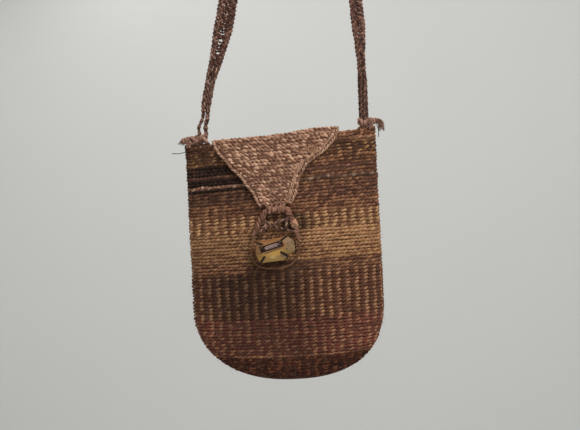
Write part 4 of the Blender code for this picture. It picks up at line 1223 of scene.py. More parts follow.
@dataclass
class Flap:
    """The flap: coarse rows over the mouth and down the front, with pale cord edges."""

    pouch: Pouch
    thickness: float = 2.6 * MM
    left: float = -70 * MM
    right: float = 60.5 * MM
    length: float = 75 * MM
    clearance: float = 1 * MM
    fold_top: float = 6.3 * MM
    tip_aside: float = -11.5 * MM
    tip_width: float = 28 * MM
    edging_radius: float = 1.7 * MM
    row_pitch: float = 3.8 * MM
    stitch: float = 4.5 * MM
    first_row: float = -26.5 * MM
    seam: float = -10.5 * MM
    samples: int = 6
    left_ways: tuple[float, ...] = (0, 0.15, 0.36, 0.58, 0.8, 1)
    left_shares: tuple[float, ...] = (0, 0.11, 0.34, 0.635, 0.85, 1)
    right_ways: tuple[float, ...] = (0, 0.12, 0.28, 0.45, 0.62, 0.85, 1)
    right_shares: tuple[float, ...] = (0, 0.06, 0.27, 0.64, 0.79, 0.9, 1)
    rise_along: tuple[float, ...] = (-65 * MM, -40 * MM, -20 * MM, 8 * MM, 36 * MM, 60 * MM)
    rise: tuple[float, ...] = (0.3 * MM, -0.5 * MM, -0.9 * MM, -0.4 * MM, 2.2 * MM, 1.4 * MM)
    top_down: tuple[float, ...] = (-28.4 * MM, -22.7 * MM, -19.3 * MM, -8.8 * MM, 0, 3.8 * MM, 8 * MM)
    hinge_out: float = 2.8 * MM
    back_blend: tuple[Array, Array] = (mm(0, 0.6, -2.6), mm(0, -3.2, 1.6))
    front_blend: tuple[Array, Array] = (mm(0, 1.0, -0.8), mm(0, -2.6, -3.6))
    strand_across: float = 1.2 * MM
    strand_high: float = 1.5 * MM
    wind_across: float = 0.75 * MM
    wind_high: float = 0.7 * MM
    wave: float = 0.45 * MM
    droop: float = 0.9 * MM
    backing: float = 0.8 * MM
    rosette_along: float = 32 * MM
    rosette_down: float = 20 * MM
    rosette_turns: float = 2.15
    root_radius: float = 1.3 * MM
    rng: np.random.Generator = field(default_factory=lambda: np.random.default_rng(23))

    def edges(self, down: Array) -> tuple[Array, Array]:
        """Left and right edge along the rim, at a distance down the hanging front."""
        way = np.clip(down / self.length, 0, 1)
        ends = self.tip_aside - self.tip_width / 2, self.tip_aside + self.tip_width / 2
        left = self.left + (ends[0] - self.left) * np.interp(way, self.left_ways, self.left_shares)
        right = self.right + (ends[1] - self.right) * np.interp(way, self.right_ways, self.right_shares)
        return left, right

    def front(self, along: Array, down: Array) -> Array:
        """Points of the hanging front's middle surface."""
        spot = self.pouch.rim_point(along, 0, self.fold_top - down)
        out = np.maximum(
            self.pouch.front_depth(spot[..., 0], spot[..., 2]),
            self.pouch.front_depth(spot[..., 0], self.pouch.rim_height(spot[..., 0])),
        )
        spot[..., 1] = -(out + self.clearance + self.thickness / 2)
        return spot

    def surface(self, along: Array, down: Array) -> Array:
        """Points of the whole flap, from its root at the back (down below zero) to the tip.

        Args:
            along: Place along the rim, from its middle.
            down: Distance down the flap, 0 at the front fold.

        Returns:
            The points.
        """
        along, down = np.broadcast_arrays(np.asarray(along, float), np.asarray(down, float))
        at = self.pouch.rim_point
        middle = self.fold_top - self.thickness / 2
        lift = np.interp(along, self.rise_along, self.rise)
        depth = self.pouch.front_depth(at(along, 0, 0)[..., 0], at(along, 0, 0)[..., 2])
        narrow = depth / self.pouch.mouth_front
        back = self.pouch.mouth_back * narrow
        zero = np.zeros_like(along)
        knots = [
            at(along, back + 1.9 * MM, -4 * MM), at(along, back + 3.4 * MM, 1.5 * MM),
            at(along, 10.4 * MM + zero, 4.6 * MM + lift * 0.4), at(along, zero, middle + lift),
            at(along, -depth + 0.8 * MM, middle + lift * 0.9),
            self.front(along, zero + 3.8 * MM), self.front(along, zero + 8 * MM),
        ]
        marked = self.top_down
        points = self.front(along, down)
        for i in range(len(marked) - 2):
            a, b = marked[i], marked[i + 1]
            inside = ((down >= a) | (i == 0)) & (down < b)
            t = (np.clip(down, marked[0], None) - a)[..., None] / (b - a)
            before = knots[i - 1] if i else 2 * knots[0] - knots[1]
            gap = a - marked[i - 1] if i else b - a
            start = (knots[i + 1] - before) / (b - a + gap) * (b - a)
            end = (knots[i + 2] - knots[i]) / (marked[i + 2] - a) * (b - a)
            spot = (
                knots[i] * (1 + 2 * t) * (1 - t) ** 2 + start * t * (1 - t) ** 2
                + knots[i + 1] * t * t * (3 - 2 * t) + end * t * t * (t - 1)
            )
            points = np.where(inside[..., None], spot, points)
        return points

    def directions(self, along: Array, down: Array) -> tuple[Array, Array]:
        """Outward and upward directions of the flap's surface."""
        step = 0.3 * MM
        ahead = unit(self.surface(along + step, down) - self.surface(along - step, down))
        fall = unit(self.surface(along, down + step) - self.surface(along, down - step))
        out = unit(np.cross(fall, ahead))
        return out, np.cross(ahead, out)

    def row(self, mesh: StrandMesh, down: float, number: int) -> None:
        """Wind one row of the flap into a mesh.

        Args:
            mesh: The mesh that gets it.
            down: Distance of the row down the flap.
            number: The row's number, for its yarns.
        """
        left, right = self.edges(np.array(down))
        stitches = max(int(round((right - left) / self.stitch)), 3)
        count = stitches * self.samples + 1
        along = np.linspace(left + 0.6 * MM, right - 0.6 * MM, count)
        wave = np.interp(np.linspace(0, 12, count), np.arange(13), self.rng.normal(size=13)) * self.wave
        level = down + wave + self.droop * np.sin(along * 43 + 1)
        points = self.surface(along, level)
        out, up = self.directions(along, level)
        plump = 1 + 0.2 * self.rng.normal(size=stitches + 1).clip(-1.5, 1.5).repeat(self.samples)[:count]
        plump = np.convolve(np.pad(plump, 1, "edge"), np.ones(3) / 3, "valid")
        turn = np.linspace(0, stitches * math.pi, count) + self.rng.uniform(0, TAU)
        for k, tone in enumerate((0.0, 1.0)):
            cos, sin = np.cos(turn + k * math.pi)[:, None], np.sin(turn + k * math.pi)[:, None]
            middle = points + out * (cos * self.wind_across) + up * (sin * self.wind_high)
            bulge = plump * (0.95 + 0.14 * cos[:, 0])
            mesh.strand(
                middle, out, up, self.strand_across * bulge, self.strand_high * bulge,
                tone + self.rng.normal() * 0.25, number * 1.31 + k * 4.7, winding=260,
            )

    def sheet(self, name: str, start: float, end: float) -> bpy.types.Object:
        """A stretch of the flap's thin middle sheet, its darker colour painted shade between the rows.

        Args:
            name: The object's name.
            start: Where it starts down the flap.
            end: Where it ends.

        Returns:
            The object.
        """
        downs = np.linspace(start, end, max(int((end - start) / (3 * MM)), 3))
        left, right = self.edges(downs)
        along = np.linspace(left, right, 25, axis=1)
        return thin_sheet(name, self.surface(along, downs[:, None]), self.backing, PALETTE.flap_shade)

    def edge_cord(self, mesh: StrandMesh, side: Side, downs: Array, seed: float) -> None:
        """A stretch of the pale cord along one edge.

        Args:
            mesh: The mesh that gets it.
            side: Which edge.
            downs: Distances down the flap.
            seed: A number that sets its strands apart.
        """
        step = self.length / 28
        edge = 1 if side is Side.RIGHT else 0
        here, after, before = (self.edges(places)[edge] for places in (downs, downs + step, downs - step))
        inward = np.abs(after - before) / (2 * step)
        reach = np.hypot(inward, 1)
        off = self.edging_radius * 0.9
        along = here + side.value * off / reach
        points = self.surface(along, np.minimum(downs + off * inward / reach, self.length - 0.5 * MM))
        points = spread(points, 1.1 * MM)
        wave = np.sin(np.arange(len(points)) * 0.31 + seed) * 0.35 * MM
        points = points + np.array((1, 0, 0.6)) * wave[:, None]
        radius = self.edging_radius * (1.08 if downs[0] > 0 else 0.85)
        mesh.cord(points, radius, 2, 7.5 * MM, FORWARD, seed=seed, twist=Twist.FALLING)

    def build_rosette(self) -> None:
        """The small spiral of yarn sewn on the flap's upper right."""
        mesh = StrandMesh("flap_rosette")
        turn = np.linspace(0, TAU * self.rosette_turns, 60)
        radius = 0.9 * MM + turn / TAU * 1.85 * MM
        along = self.rosette_along + np.cos(turn) * radius * 1.15
        down = self.rosette_down - np.sin(turn) * radius
        out, _ = self.directions(along, down)
        mesh.cord(self.surface(along, down) + out * 2.1 * MM, 1.05 * MM, 2, 5 * MM, FORWARD, seed=3)
        mesh.build(PALETTE.pale, Body.FLAP)

    def build_border(self) -> None:
        """The thicker yarn worked along the flap's right edge, inside its cord."""
        mesh = StrandMesh("flap_rolled_border")
        for k, inside in enumerate((2.0 * MM, 4.6 * MM)):
            downs = np.linspace((7 + 9 * k) * MM, self.length - (2 + 6 * k) * MM, 60)
            wave = np.interp(downs, np.linspace(0, self.length, 14), self.rng.normal(size=14)) * 0.5 * MM
            along = self.edges(downs)[1] - inside * (1.25 - 0.25 * k) + wave
            out, _ = self.directions(along, downs)
            points = spread(self.surface(along, downs) + out * 1.7 * MM, 0.9 * MM)
            fat = 1.35 * MM + 0.3 * MM * np.sin(np.arange(len(points)) * 0.37 + k)
            mesh.cord(points, fat, 2, 7 * MM, FORWARD, seed=k * 2.9, twist=Twist.FALLING)
        mesh.build(PALETTE.border, Body.FLAP)

    def build_root(self) -> None:
        """The cord that sews the flap's root to the back of the mouth."""
        mesh = StrandMesh("flap_root_stitches")
        along = np.linspace(self.left, self.right, 240)
        x = self.pouch.rim_point(along, 0, 0)[:, 0]
        share = self.pouch.front_depth(x, self.pouch.rim_height(x)) / self.pouch.mouth_front
        back = self.pouch.mouth_back * share + 2.4 * MM
        line = self.pouch.rim_point(along, back, -3 * MM + np.sin(along * 700) * 0.9 * MM)
        mesh.cord(line, self.root_radius, 2, 6 * MM)
        mesh.build(PALETTE.pale, Body.POUCH, ("flap_root_cord",))

    def build(self) -> None:
        """Build the rows, the sheet, the edge cords, the rosette, the border and the root's cord."""
        top, hanging = StrandMesh("flap_rows_top", 8), StrandMesh("flap_rows_front", 8)
        down, number = self.first_row, 0
        while down < self.length - 1.2 * MM:
            self.row(top if down < self.seam else hanging, down, number)
            down += self.row_pitch
            number += 1
        root, tip = -28 * MM, self.length - 1 * MM
        for side in Side:
            self.edge_cord(top, side, np.linspace(root, self.seam, 12), side.value)
            self.edge_cord(hanging, side, np.linspace(self.seam, 1.5 * MM, 10), side.value)
        rows = (
            top.build(PALETTE.flap, None, ("flap_fold",)),
            hanging.build(PALETTE.flap, None, ("flap_panel",)),
        )
        sheets = (
            self.sheet("flap_backing_top", root, self.seam),
            self.sheet("flap_backing_front", self.seam, tip),
        )
        pouch = self.pouch
        hinge = pouch.rim_point(0, pouch.mouth_back + self.hinge_out, self.fold_top - self.thickness)
        fold = pouch.rim_point(0, -pouch.mouth_front - self.clearance, self.fold_top)
        crossings = (
            (Body.POUCH, Body.FOLD, hinge, self.back_blend), (Body.FOLD, Body.FLAP, fold, self.front_blend)
        )
        for k, (first, second, place, shifts) in enumerate(crossings):
            start, end = (tuple(place + shift) for shift in shifts)
            for obj in (rows[k], sheets[k]):
                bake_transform(obj)
                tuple(start)
                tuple(end)
        for side in Side:
            name = "flap_edging_" + side.name.lower()
            cord = StrandMesh(name + "_cord")
            self.edge_cord(cord, side, np.linspace(1.5 * MM, self.length, 60), 2 + side.value)
            cord.build(PALETTE.border, Body.FLAP, (name,))
        self.build_rosette()
        self.build_border()
        self.build_root()


@dataclass
class TipAndLoop:
    """Whipping at the flap's tip, the yarn loop through it, its knot and the strand across."""

    pouch: Pouch
    flap: Flap
    whipping_radius: float = 4 * MM
    whipping_length: float = 18 * MM
    gap: float = 0.3 * MM
    radius: float = 1.6 * MM
    top: float = 12.5 * MM
    corner: float = 4 * MM
    room: float = 2.4 * MM
    room_below: float = 6.8 * MM
    lie: float = 0.7 * MM
    power: float = 2.6
    button_aside: float = -10.8 * MM
    button_drop: float = 114.5 * MM
    button_width: float = 41 * MM
    button_height: float = 27 * MM
    knot_share: float = 0.34
    cross_shares: tuple[float, float] = (0.16, 0.58)
    tie_shares: tuple[float, float] = (0.62, 0.16)
    heights: tuple[float, ...] = (-8 * MM, 6 * MM, 20 * MM, 34 * MM)
    radii: tuple[float, ...] = (0.9 * MM, 1.3 * MM, 2.7 * MM, 3.3 * MM)
    loop_shade_until: float = 16 * MM
    period: float = 12 * MM
    yarn_thick: float = 1.1 * MM
    rng: np.random.Generator = field(default_factory=lambda: np.random.default_rng(31))

    def __post_init__(self) -> None:
        """Work out the hinge line and the button's middle."""
        tip = self.flap.front(np.array(self.flap.tip_aside), np.array(self.flap.length))
        self.hinge = (
            tip - self.pouch.above * (self.gap + self.whipping_radius)
            - np.array((0, 1, 0)) * (self.whipping_radius - self.flap.thickness / 2)
        )
        x, z = self.pouch.middle_x + self.button_aside, self.pouch.rim - self.button_drop
        self.button = np.array((x, 0, z))
        self.drop = self.hinge[2] - z
        depth = self.pouch.front_depth(self.pouch.middle_x, z - self.button_height / 2 - self.room_below)
        self.lean = float(depth) + self.lie + self.radius

    def spot(self, aside: Array, height: Array) -> Array:
        """Points of the loop's leaning plane."""
        share = height / self.drop
        x = self.button[0] + (self.hinge[0] - self.button[0]) * share + aside
        surface = self.pouch.front_depth(x, self.button[2] + height) + self.lie + self.radius
        lean = self.lean + (-self.hinge[1] - self.lean) * np.maximum(share, 0)
        return np.stack([x, -np.maximum(surface, lean), self.button[2] + height], -1)

    def branch(self, side: Side) -> Array:
        """The loop's line from its top corner to its widest place."""
        share = np.linspace(1, 0, 40)
        half_width = self.button_width / 2 + self.room + self.radius
        aside = self.top + (half_width - self.top) * (1 - share ** 2)
        return self.spot(side.value * aside, (self.drop - self.corner) * share)

    def line(self) -> Array:
        """The loop's whole middle line, once round."""
        half_width = self.button_width / 2 + self.room + self.radius
        turn = np.arange(1, 64) * math.pi / 64
        cos, sin = np.cos(turn), np.sin(turn)
        bottom = self.spot(
            half_width * signed_power(cos, 2 / self.power),
            -(self.button_height / 2 + self.room_below) * sin ** (2 / self.power),
        )
        corner = self.corner * (1 - math.sqrt(0.5))
        along, above = self.pouch.along, self.pouch.above
        bar = [
            self.hinge - along * (self.top - corner) - above * corner,
            self.hinge - along * (self.top - self.corner),
            self.hinge + along * (self.top - self.corner),
            self.hinge + along * (self.top - corner) - above * corner,
        ]
        return np.vstack([bar, self.branch(Side.RIGHT), bottom, self.branch(Side.LEFT)[::-1]])

    def on_branch(self, side: Side, share: float, shift: Number = 0.0) -> Array:
        """Points on a branch at a share of its length from the top, shifted along it."""
        line = self.branch(side)
        known = marks(line)
        return at_marks(line, known, np.atleast_1d(known[-1] * share + shift))

    def build(self) -> None:
        """Build the whipping, the loop, the knot and the crossing strands."""
        self.build_whipping()
        self.build_loop()
        self.build_knot()
        self.build_cross()

    def build_loop(self) -> None:
        """The three-ply yarn of the loop, thin where it passes under the button and darkened there as painted
        shade.
        """
        ring = self.line()
        points = spread(np.vstack([ring, ring[:1]]), 1.1 * MM)[:-1]
        above = points[:, 2] - self.button[2]
        fat = np.interp(above, self.heights, self.radii)
        # Painted shade: the loop takes its darker tone below the button's middle.
        worn = 1 - smooth(above / self.loop_shade_until)
        mesh = StrandMesh("loop_yarn", 8)
        mesh.cord(
            points, fat, 3, self.period, FORWARD, True, seed=2, twist=Twist.FALLING,
            tones=(0.1 + worn, 0.35 + worn * 0.7, worn),
        )
        mesh.build(PALETTE.loop, Body.LOOP, ("button_loop",))

    def build_knot(self) -> None:
        """The pale knot on the loop's right branch: turns along it and two that cross them."""
        place, ahead = self.on_branch(Side.RIGHT, self.knot_share, mm(0, 1))
        heading = unit(ahead - place)
        mesh = StrandMesh("loop_knot_turns")
        mesh.coil(place, heading, 6.6 * MM, 2.5 * MM, 1.0 * MM, 1.3 * MM, 3.4, self.rng, 0.4)
        for seed, tilt in ((4, (0.9, -0.6, 0.3)), (5, (-0.7, -0.4, 0.6))):
            axis = unit(heading + tilt)
            mesh.coil(place, axis, 2.4 * MM, 3.2 * MM, 1.0 * MM, 1.3 * MM, 1.4, self.rng, 0.5, seed)
        mesh.build(PALETTE.pale, Body.LOOP, ("loop_knot",))

    def build_cross(self) -> None:
        """The strands that cross between the branches, and two that slant inward from the top."""
        mesh = StrandMesh("loop_cross_yarn")
        a, = self.on_branch(Side.LEFT, self.cross_shares[0])
        b, = self.on_branch(Side.RIGHT, self.cross_shares[1])
        middle = (a + b) / 2
        mesh.lace([
            a + mm(0, -0.4, 0), middle + mm(-2, -1.2, -1.4), middle + mm(3, -0.6, -3.2), b + mm(0, -0.8, 0)
        ], 1.6 * MM, seed=6)
        a, = self.on_branch(Side.LEFT, self.tie_shares[0])
        b, = self.on_branch(Side.RIGHT, self.tie_shares[1])
        corners = [a + mm(0, -1, 0), (a + b) / 2 + mm(1.5, -1.6, 3.5), b + mm(0, -1, 0)]
        mesh.lace(corners, 1.35 * MM, 6 * MM, seed=9, twist=Twist.FALLING)
        for side, inward in ((Side.LEFT, 7.5), (Side.RIGHT, 9.5)):
            top, = self.on_branch(side, 0.05)
            foot = self.on_branch(side, 0.5)[0] - mm(side.value * inward, 1.2, 1)
            bow = (top + foot) / 2 + mm(-side.value * 2.2, -0.6, 1.0)
            mesh.lace([top, bow, foot], 1.9 * MM, 8 * MM, seed=12.5)
        mesh.build(PALETTE.strap, Body.LOOP, ("loop_cross_strand",))

    def build_whipping(self) -> None:
        """Thick pale turns round the flap's tip, turns that cross them and stitches over them."""
        along, thick = self.pouch.along, self.yarn_thick
        mesh = StrandMesh("flap_tip_turns", 9)
        length = self.whipping_length - 2.5 * MM
        mesh.coil(self.hinge, along, length, 3.0 * MM, thick, 1.75 * MM, 5.1, self.rng, 0.55)
        for k in range(4):
            place = self.hinge + along * (k - 1.5) * self.whipping_length * 0.26
            lean = unit(along + np.array((0, 0.5, 1.0)) * self.rng.uniform(-0.9, 0.9))
            mesh.coil(place, lean, 2 * MM, 3.3 * MM, thick, 1.5 * MM, 1.2, self.rng, 0.5, k * 1.3)
        for k in range(5):
            aside = (k - 2) * self.flap.tip_width * 0.22
            down = self.flap.length - self.rng.uniform(4, 7) * MM
            top = self.flap.surface(self.flap.tip_aside + aside, down)
            low = self.hinge + along * aside * 0.62
            bow = (top + low) / 2 + mm(self.rng.normal() * 0.8, -2.3, 0)
            corners = [top + mm(0, 0.4, 0), bow, low + mm(0, -3.6, 0.6), low + mm(0, -1, -3.4)]
            mesh.lace(corners, 1.5 * MM, 7 * MM, RIGHTWARD, seed=k * 2.3)
        mesh.build(PALETTE.whipping, Body.FLAP, ("flap_tip_whipping",))


@dataclass
class CarvedButton:
    """The carved two-hole button, its sewing cord, lashings and stitched shank."""

    pouch: Pouch
    loop: TipAndLoop
    thickness: float = 9.5 * MM
    edge: float = 4.5 * MM
    clearance: float = 0.8 * MM
    hole_spread: float = 9.8 * MM
    hole_slant: float = math.radians(15)
    recess_depth: float = 3.6 * MM
    bar_radius: float = 2.2 * MM
    leg_radius: float = 1.5 * MM
    voxel: float = 0.33 * MM
    worn_steps: int = 4
    normal_steps: int = 6
    lashing_radius: float = 0.85 * MM
    stem_radius: float = 1.5 * MM
    even_half: float = 5.4 * MM
    recess_past_hole: float = 3.2 * MM
    recess_half_width: float = 3.9 * MM
    belly_below: float = 4.3 * MM
    shade_line_below: float = 4.6 * MM
    painted_glint_spot: tuple[float, float] = (-0.12, -0.56)
    painted_glint_size: tuple[float, float] = (3.4 * MM, 1.5 * MM)
    top_share: float = 0.62
    top_shift: tuple[float, float] = (-0.07, 0.1)
    hole_middle: tuple[float, float] = (-0.17, 0.26)
    corners: tuple[tuple[str, float, float], ...] = (
        ("upper_left", -0.93, 0.61), ("lower_left", -0.78, -1.0),
        ("upper_right", 0.62, 1.0), ("lower_right", 0.61, -0.51),
    )
    rng: np.random.Generator = field(default_factory=lambda: np.random.default_rng(5))

    def __post_init__(self) -> None:
        """Work out the button's place."""
        self.middle = self.loop.button
        self.half = np.array((self.loop.button_width, self.loop.button_height)) / 2
        self.back = -(self.loop.lean + self.loop.radius + self.clearance)
        self.front = self.back - self.thickness
        self.shank = self.spot(*self.hole_middle, 0)

    def spot(self, share_x: float, share_z: float, y: float) -> Array:
        """A point given by shares of the half-sizes."""
        return np.array((self.middle[0] + share_x * self.half[0], y, self.middle[2] + share_z * self.half[1]))

    def hole(self, side: float, y: float) -> Array:
        """Middle of a hole, or a point between the holes, at a depth."""
        way = side * self.hole_spread
        x = self.shank[0] + way * math.cos(self.hole_slant)
        return np.array((x, y, self.shank[2] + way * math.sin(self.hole_slant)))

    def build(self) -> None:
        """Build the block, the cord, the lashings and the shank."""
        self.build_block()
        self.build_cord()
        for name, u, v in self.corners:
            top, out = self.lashing_line(u, v)
            run = unit(out - top)
            line = np.linspace(top + run * 0.2 * MM, out + run * 0.6 * MM, 22)
            lashing = StrandMesh("lashing_yarn_" + name)
            lashing.cord(line, self.lashing_radius, 2, 3.4 * MM, FORWARD, seed=u)
            lashing.build(PALETTE.lashing, Body.BUTTON, ("lashing_" + name,))
        self.build_shank()

    def build_cord(self) -> None:
        """The cord through both holes, thick as a bar in the recess and thin behind the button, darkened as
        painted shade where it enters the holes.
        """
        bar = self.front + self.recess_depth - 0.3 * MM - self.bar_radius
        dip, bend = bar + 1.3 * MM, bar + self.bar_radius
        behind = self.back + self.clearance + self.leg_radius
        ring = [self.hole(side, y) for side, y in (
            (-0.86, dip), (-0.56, bar), (0.56, bar), (0.86, dip), (1, bend), (1, self.back),
            (0.72, behind), (-0.72, behind), (-1, self.back), (-1, bend), (-0.86, dip),
        )]
        points = spread(np.array(ring), 0.7 * MM)[:-1]
        fat = np.interp(points[:, 1], [bar, bar + 1.2 * MM], [self.bar_radius, self.leg_radius])
        away = np.linalg.norm((points - self.shank)[:, [0, 2]], axis=1)
        # Painted shade: the cord darkens towards the holes.
        ends = smooth((away - self.even_half) / (2.6 * MM))
        cord = StrandMesh("button_sewing_cord")
        cord.cord(points, fat, 3, 9 * MM, FORWARD, True, seed=8, tones=(ends, 0.3 + ends, 0.12 + ends))
        cord.build(PALETTE.cord, Body.BUTTON, ("button_cord",))

    def build_block(self) -> None:
        """The carved block, its edges worn round, with what its material reads at each point."""
        block = bpy.data.objects.new("button_blank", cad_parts["button_block"].data.copy())
        bpy.context.scene.collection.objects.link(block)
        remesh = block.modifiers.new("remesh", "REMESH")
        remesh.mode = "VOXEL"
        remesh.voxel_size = self.voxel
        worn = block.modifiers.new("worn", "SMOOTH")
        worn.factor = 0.5
        worn.iterations = self.worn_steps
        shaped = block.evaluated_get(bpy.context.evaluated_depsgraph_get())
        mesh = bpy.data.meshes.new_from_object(shaped)
        bpy.data.objects.remove(block)
        mesh.name = "button_carving"
        mesh.materials.clear()
        normals, spots = (np.empty(len(mesh.vertices) * 3, np.float32) for _ in range(2))
        mesh.vertices.foreach_get("normal", normals)
        mesh.vertices.foreach_get("co", spots)
        pairs = np.empty(len(mesh.edges) * 2, np.int32)
        mesh.edges.foreach_get("vertices", pairs)
        normals, spots, pairs = normals.reshape(-1, 3), spots.reshape(-1, 3), pairs.reshape(-1, 2)
        for _ in range(self.normal_steps):
            total = normals.copy()
            np.add.at(total, pairs[:, 0], normals[pairs[:, 1]])
            np.add.at(total, pairs[:, 1], normals[pairs[:, 0]])
            normals = unit(total).astype(np.float32)
        write(mesh, "facing", normals)
        write(mesh, "hollow", self.hollow(spots))
        write(mesh, "belly", self.belly(spots))
        write(mesh, "rubbed", self.rubbed(spots))
        piece(mesh, PALETTE.button, Body.BUTTON, ("button_block",))

    def lashing_line(self, u: float, v: float) -> tuple[Array, Array]:
        """A lashing's upper and lower end, in its groove."""
        shares = (share * self.top_share + shift for share, shift in zip((u, v), self.top_shift))
        return self.spot(*shares, self.front), self.spot(u, v, self.back - self.edge)

    def belly(self, spots: Array) -> Array:
        """How far below the recess each point lies, 0 to 1, for the boat-shaped lower facet, painted in the
        lower colour: partly its yellower tone, partly painted light.
        """
        slant = np.array((math.sin(self.hole_slant), -math.cos(self.hole_slant)))
        below = (spots - self.shank)[:, [0, 2]] @ slant
        return smooth((below - self.belly_below) / (0.7 * MM)) * 0.8

    def rubbed(self, spots: Array) -> Array:
        """The painted highlight on the lower facet, 0 to 1."""
        spot = self.spot(*self.painted_glint_spot, 0)
        far = (spots - spot)[:, [0, 2]] / np.array(self.painted_glint_size)
        return np.exp(-(far ** 2).sum(1))

    def hollow(self, spots: Array) -> Array:
        """Painted shade in the recess, at the holes, along a line below the recess and in the grooves, 0 to
        1.

        Args:
            spots: Points on the block.

        Returns:
            A share for each point.
        """
        slant = np.array((math.cos(self.hole_slant), math.sin(self.hole_slant)))
        flat = (spots - self.shank)[:, [0, 2]]
        along = flat @ slant
        aside = flat @ np.array((-slant[1], slant[0]))
        inside = smooth((self.hole_spread + self.recess_past_hole - np.abs(along)) / MM)
        inside = inside * smooth((self.recess_half_width - np.abs(aside)) / MM)
        deep = smooth((spots[:, 1] - self.front - 0.2 * MM) / (1.2 * MM)) * inside
        # Painted shade deepest at the hole ends.
        deep = deep * (0.55 + 0.45 * smooth((np.abs(along) - 5.5 * MM) / (2.5 * MM)))
        # A dark line painted below the recess: partly the dark cord there, partly painted shade.
        seam = smooth((0.95 * MM - np.abs(aside + self.shade_line_below - along * 0.05)) / (0.6 * MM))
        deep = np.maximum(deep, seam * smooth((10 * MM - np.abs(along)) / (2 * MM)) * 0.7)
        # Painted shade along the lashings' grooves.
        for _, u, v in self.corners:
            top, out = self.lashing_line(u, v)
            run = out - top
            share = np.clip(((spots - top) @ run) / run.dot(run), 0, 1)
            far = np.linalg.norm(spots - top - share[:, None] * run, axis=1)
            deep = np.maximum(deep, smooth((1.7 * MM - far) / (0.7 * MM)))
        return deep

    def build_shank(self) -> None:
        """The stem through the pouch's wall, its collar and the knot inside."""
        out = float(self.pouch.front_depth(self.shank[0], self.shank[2]))
        inside = out - self.pouch.wall
        back = -self.back - self.clearance - 2 * self.leg_radius
        mesh = StrandMesh("shank_stitches")
        line = np.linspace(self.shank - (0, inside - 4 * MM, 0), self.shank - (0, back - 1 * MM, 0), 16)
        mesh.cord(line, self.stem_radius, 2, 5 * MM, RIGHTWARD)
        collar, knot = self.shank - (0, (out + back) / 2, 0), self.shank - (0, inside - 3.4 * MM, 0)
        mesh.coil(collar, BACKWARD, (back - out) * 0.5, 1.75 * MM, 0.8 * MM, 0.8 * MM, 1.6, self.rng)
        mesh.coil(knot, BACKWARD, 4.2 * MM, 2.5 * MM, 1.2 * MM, 1.3 * MM, 3.1, self.rng, seed=3)
        mesh.build(PALETTE.lashing, Body.POUCH, ("button_anchor",))


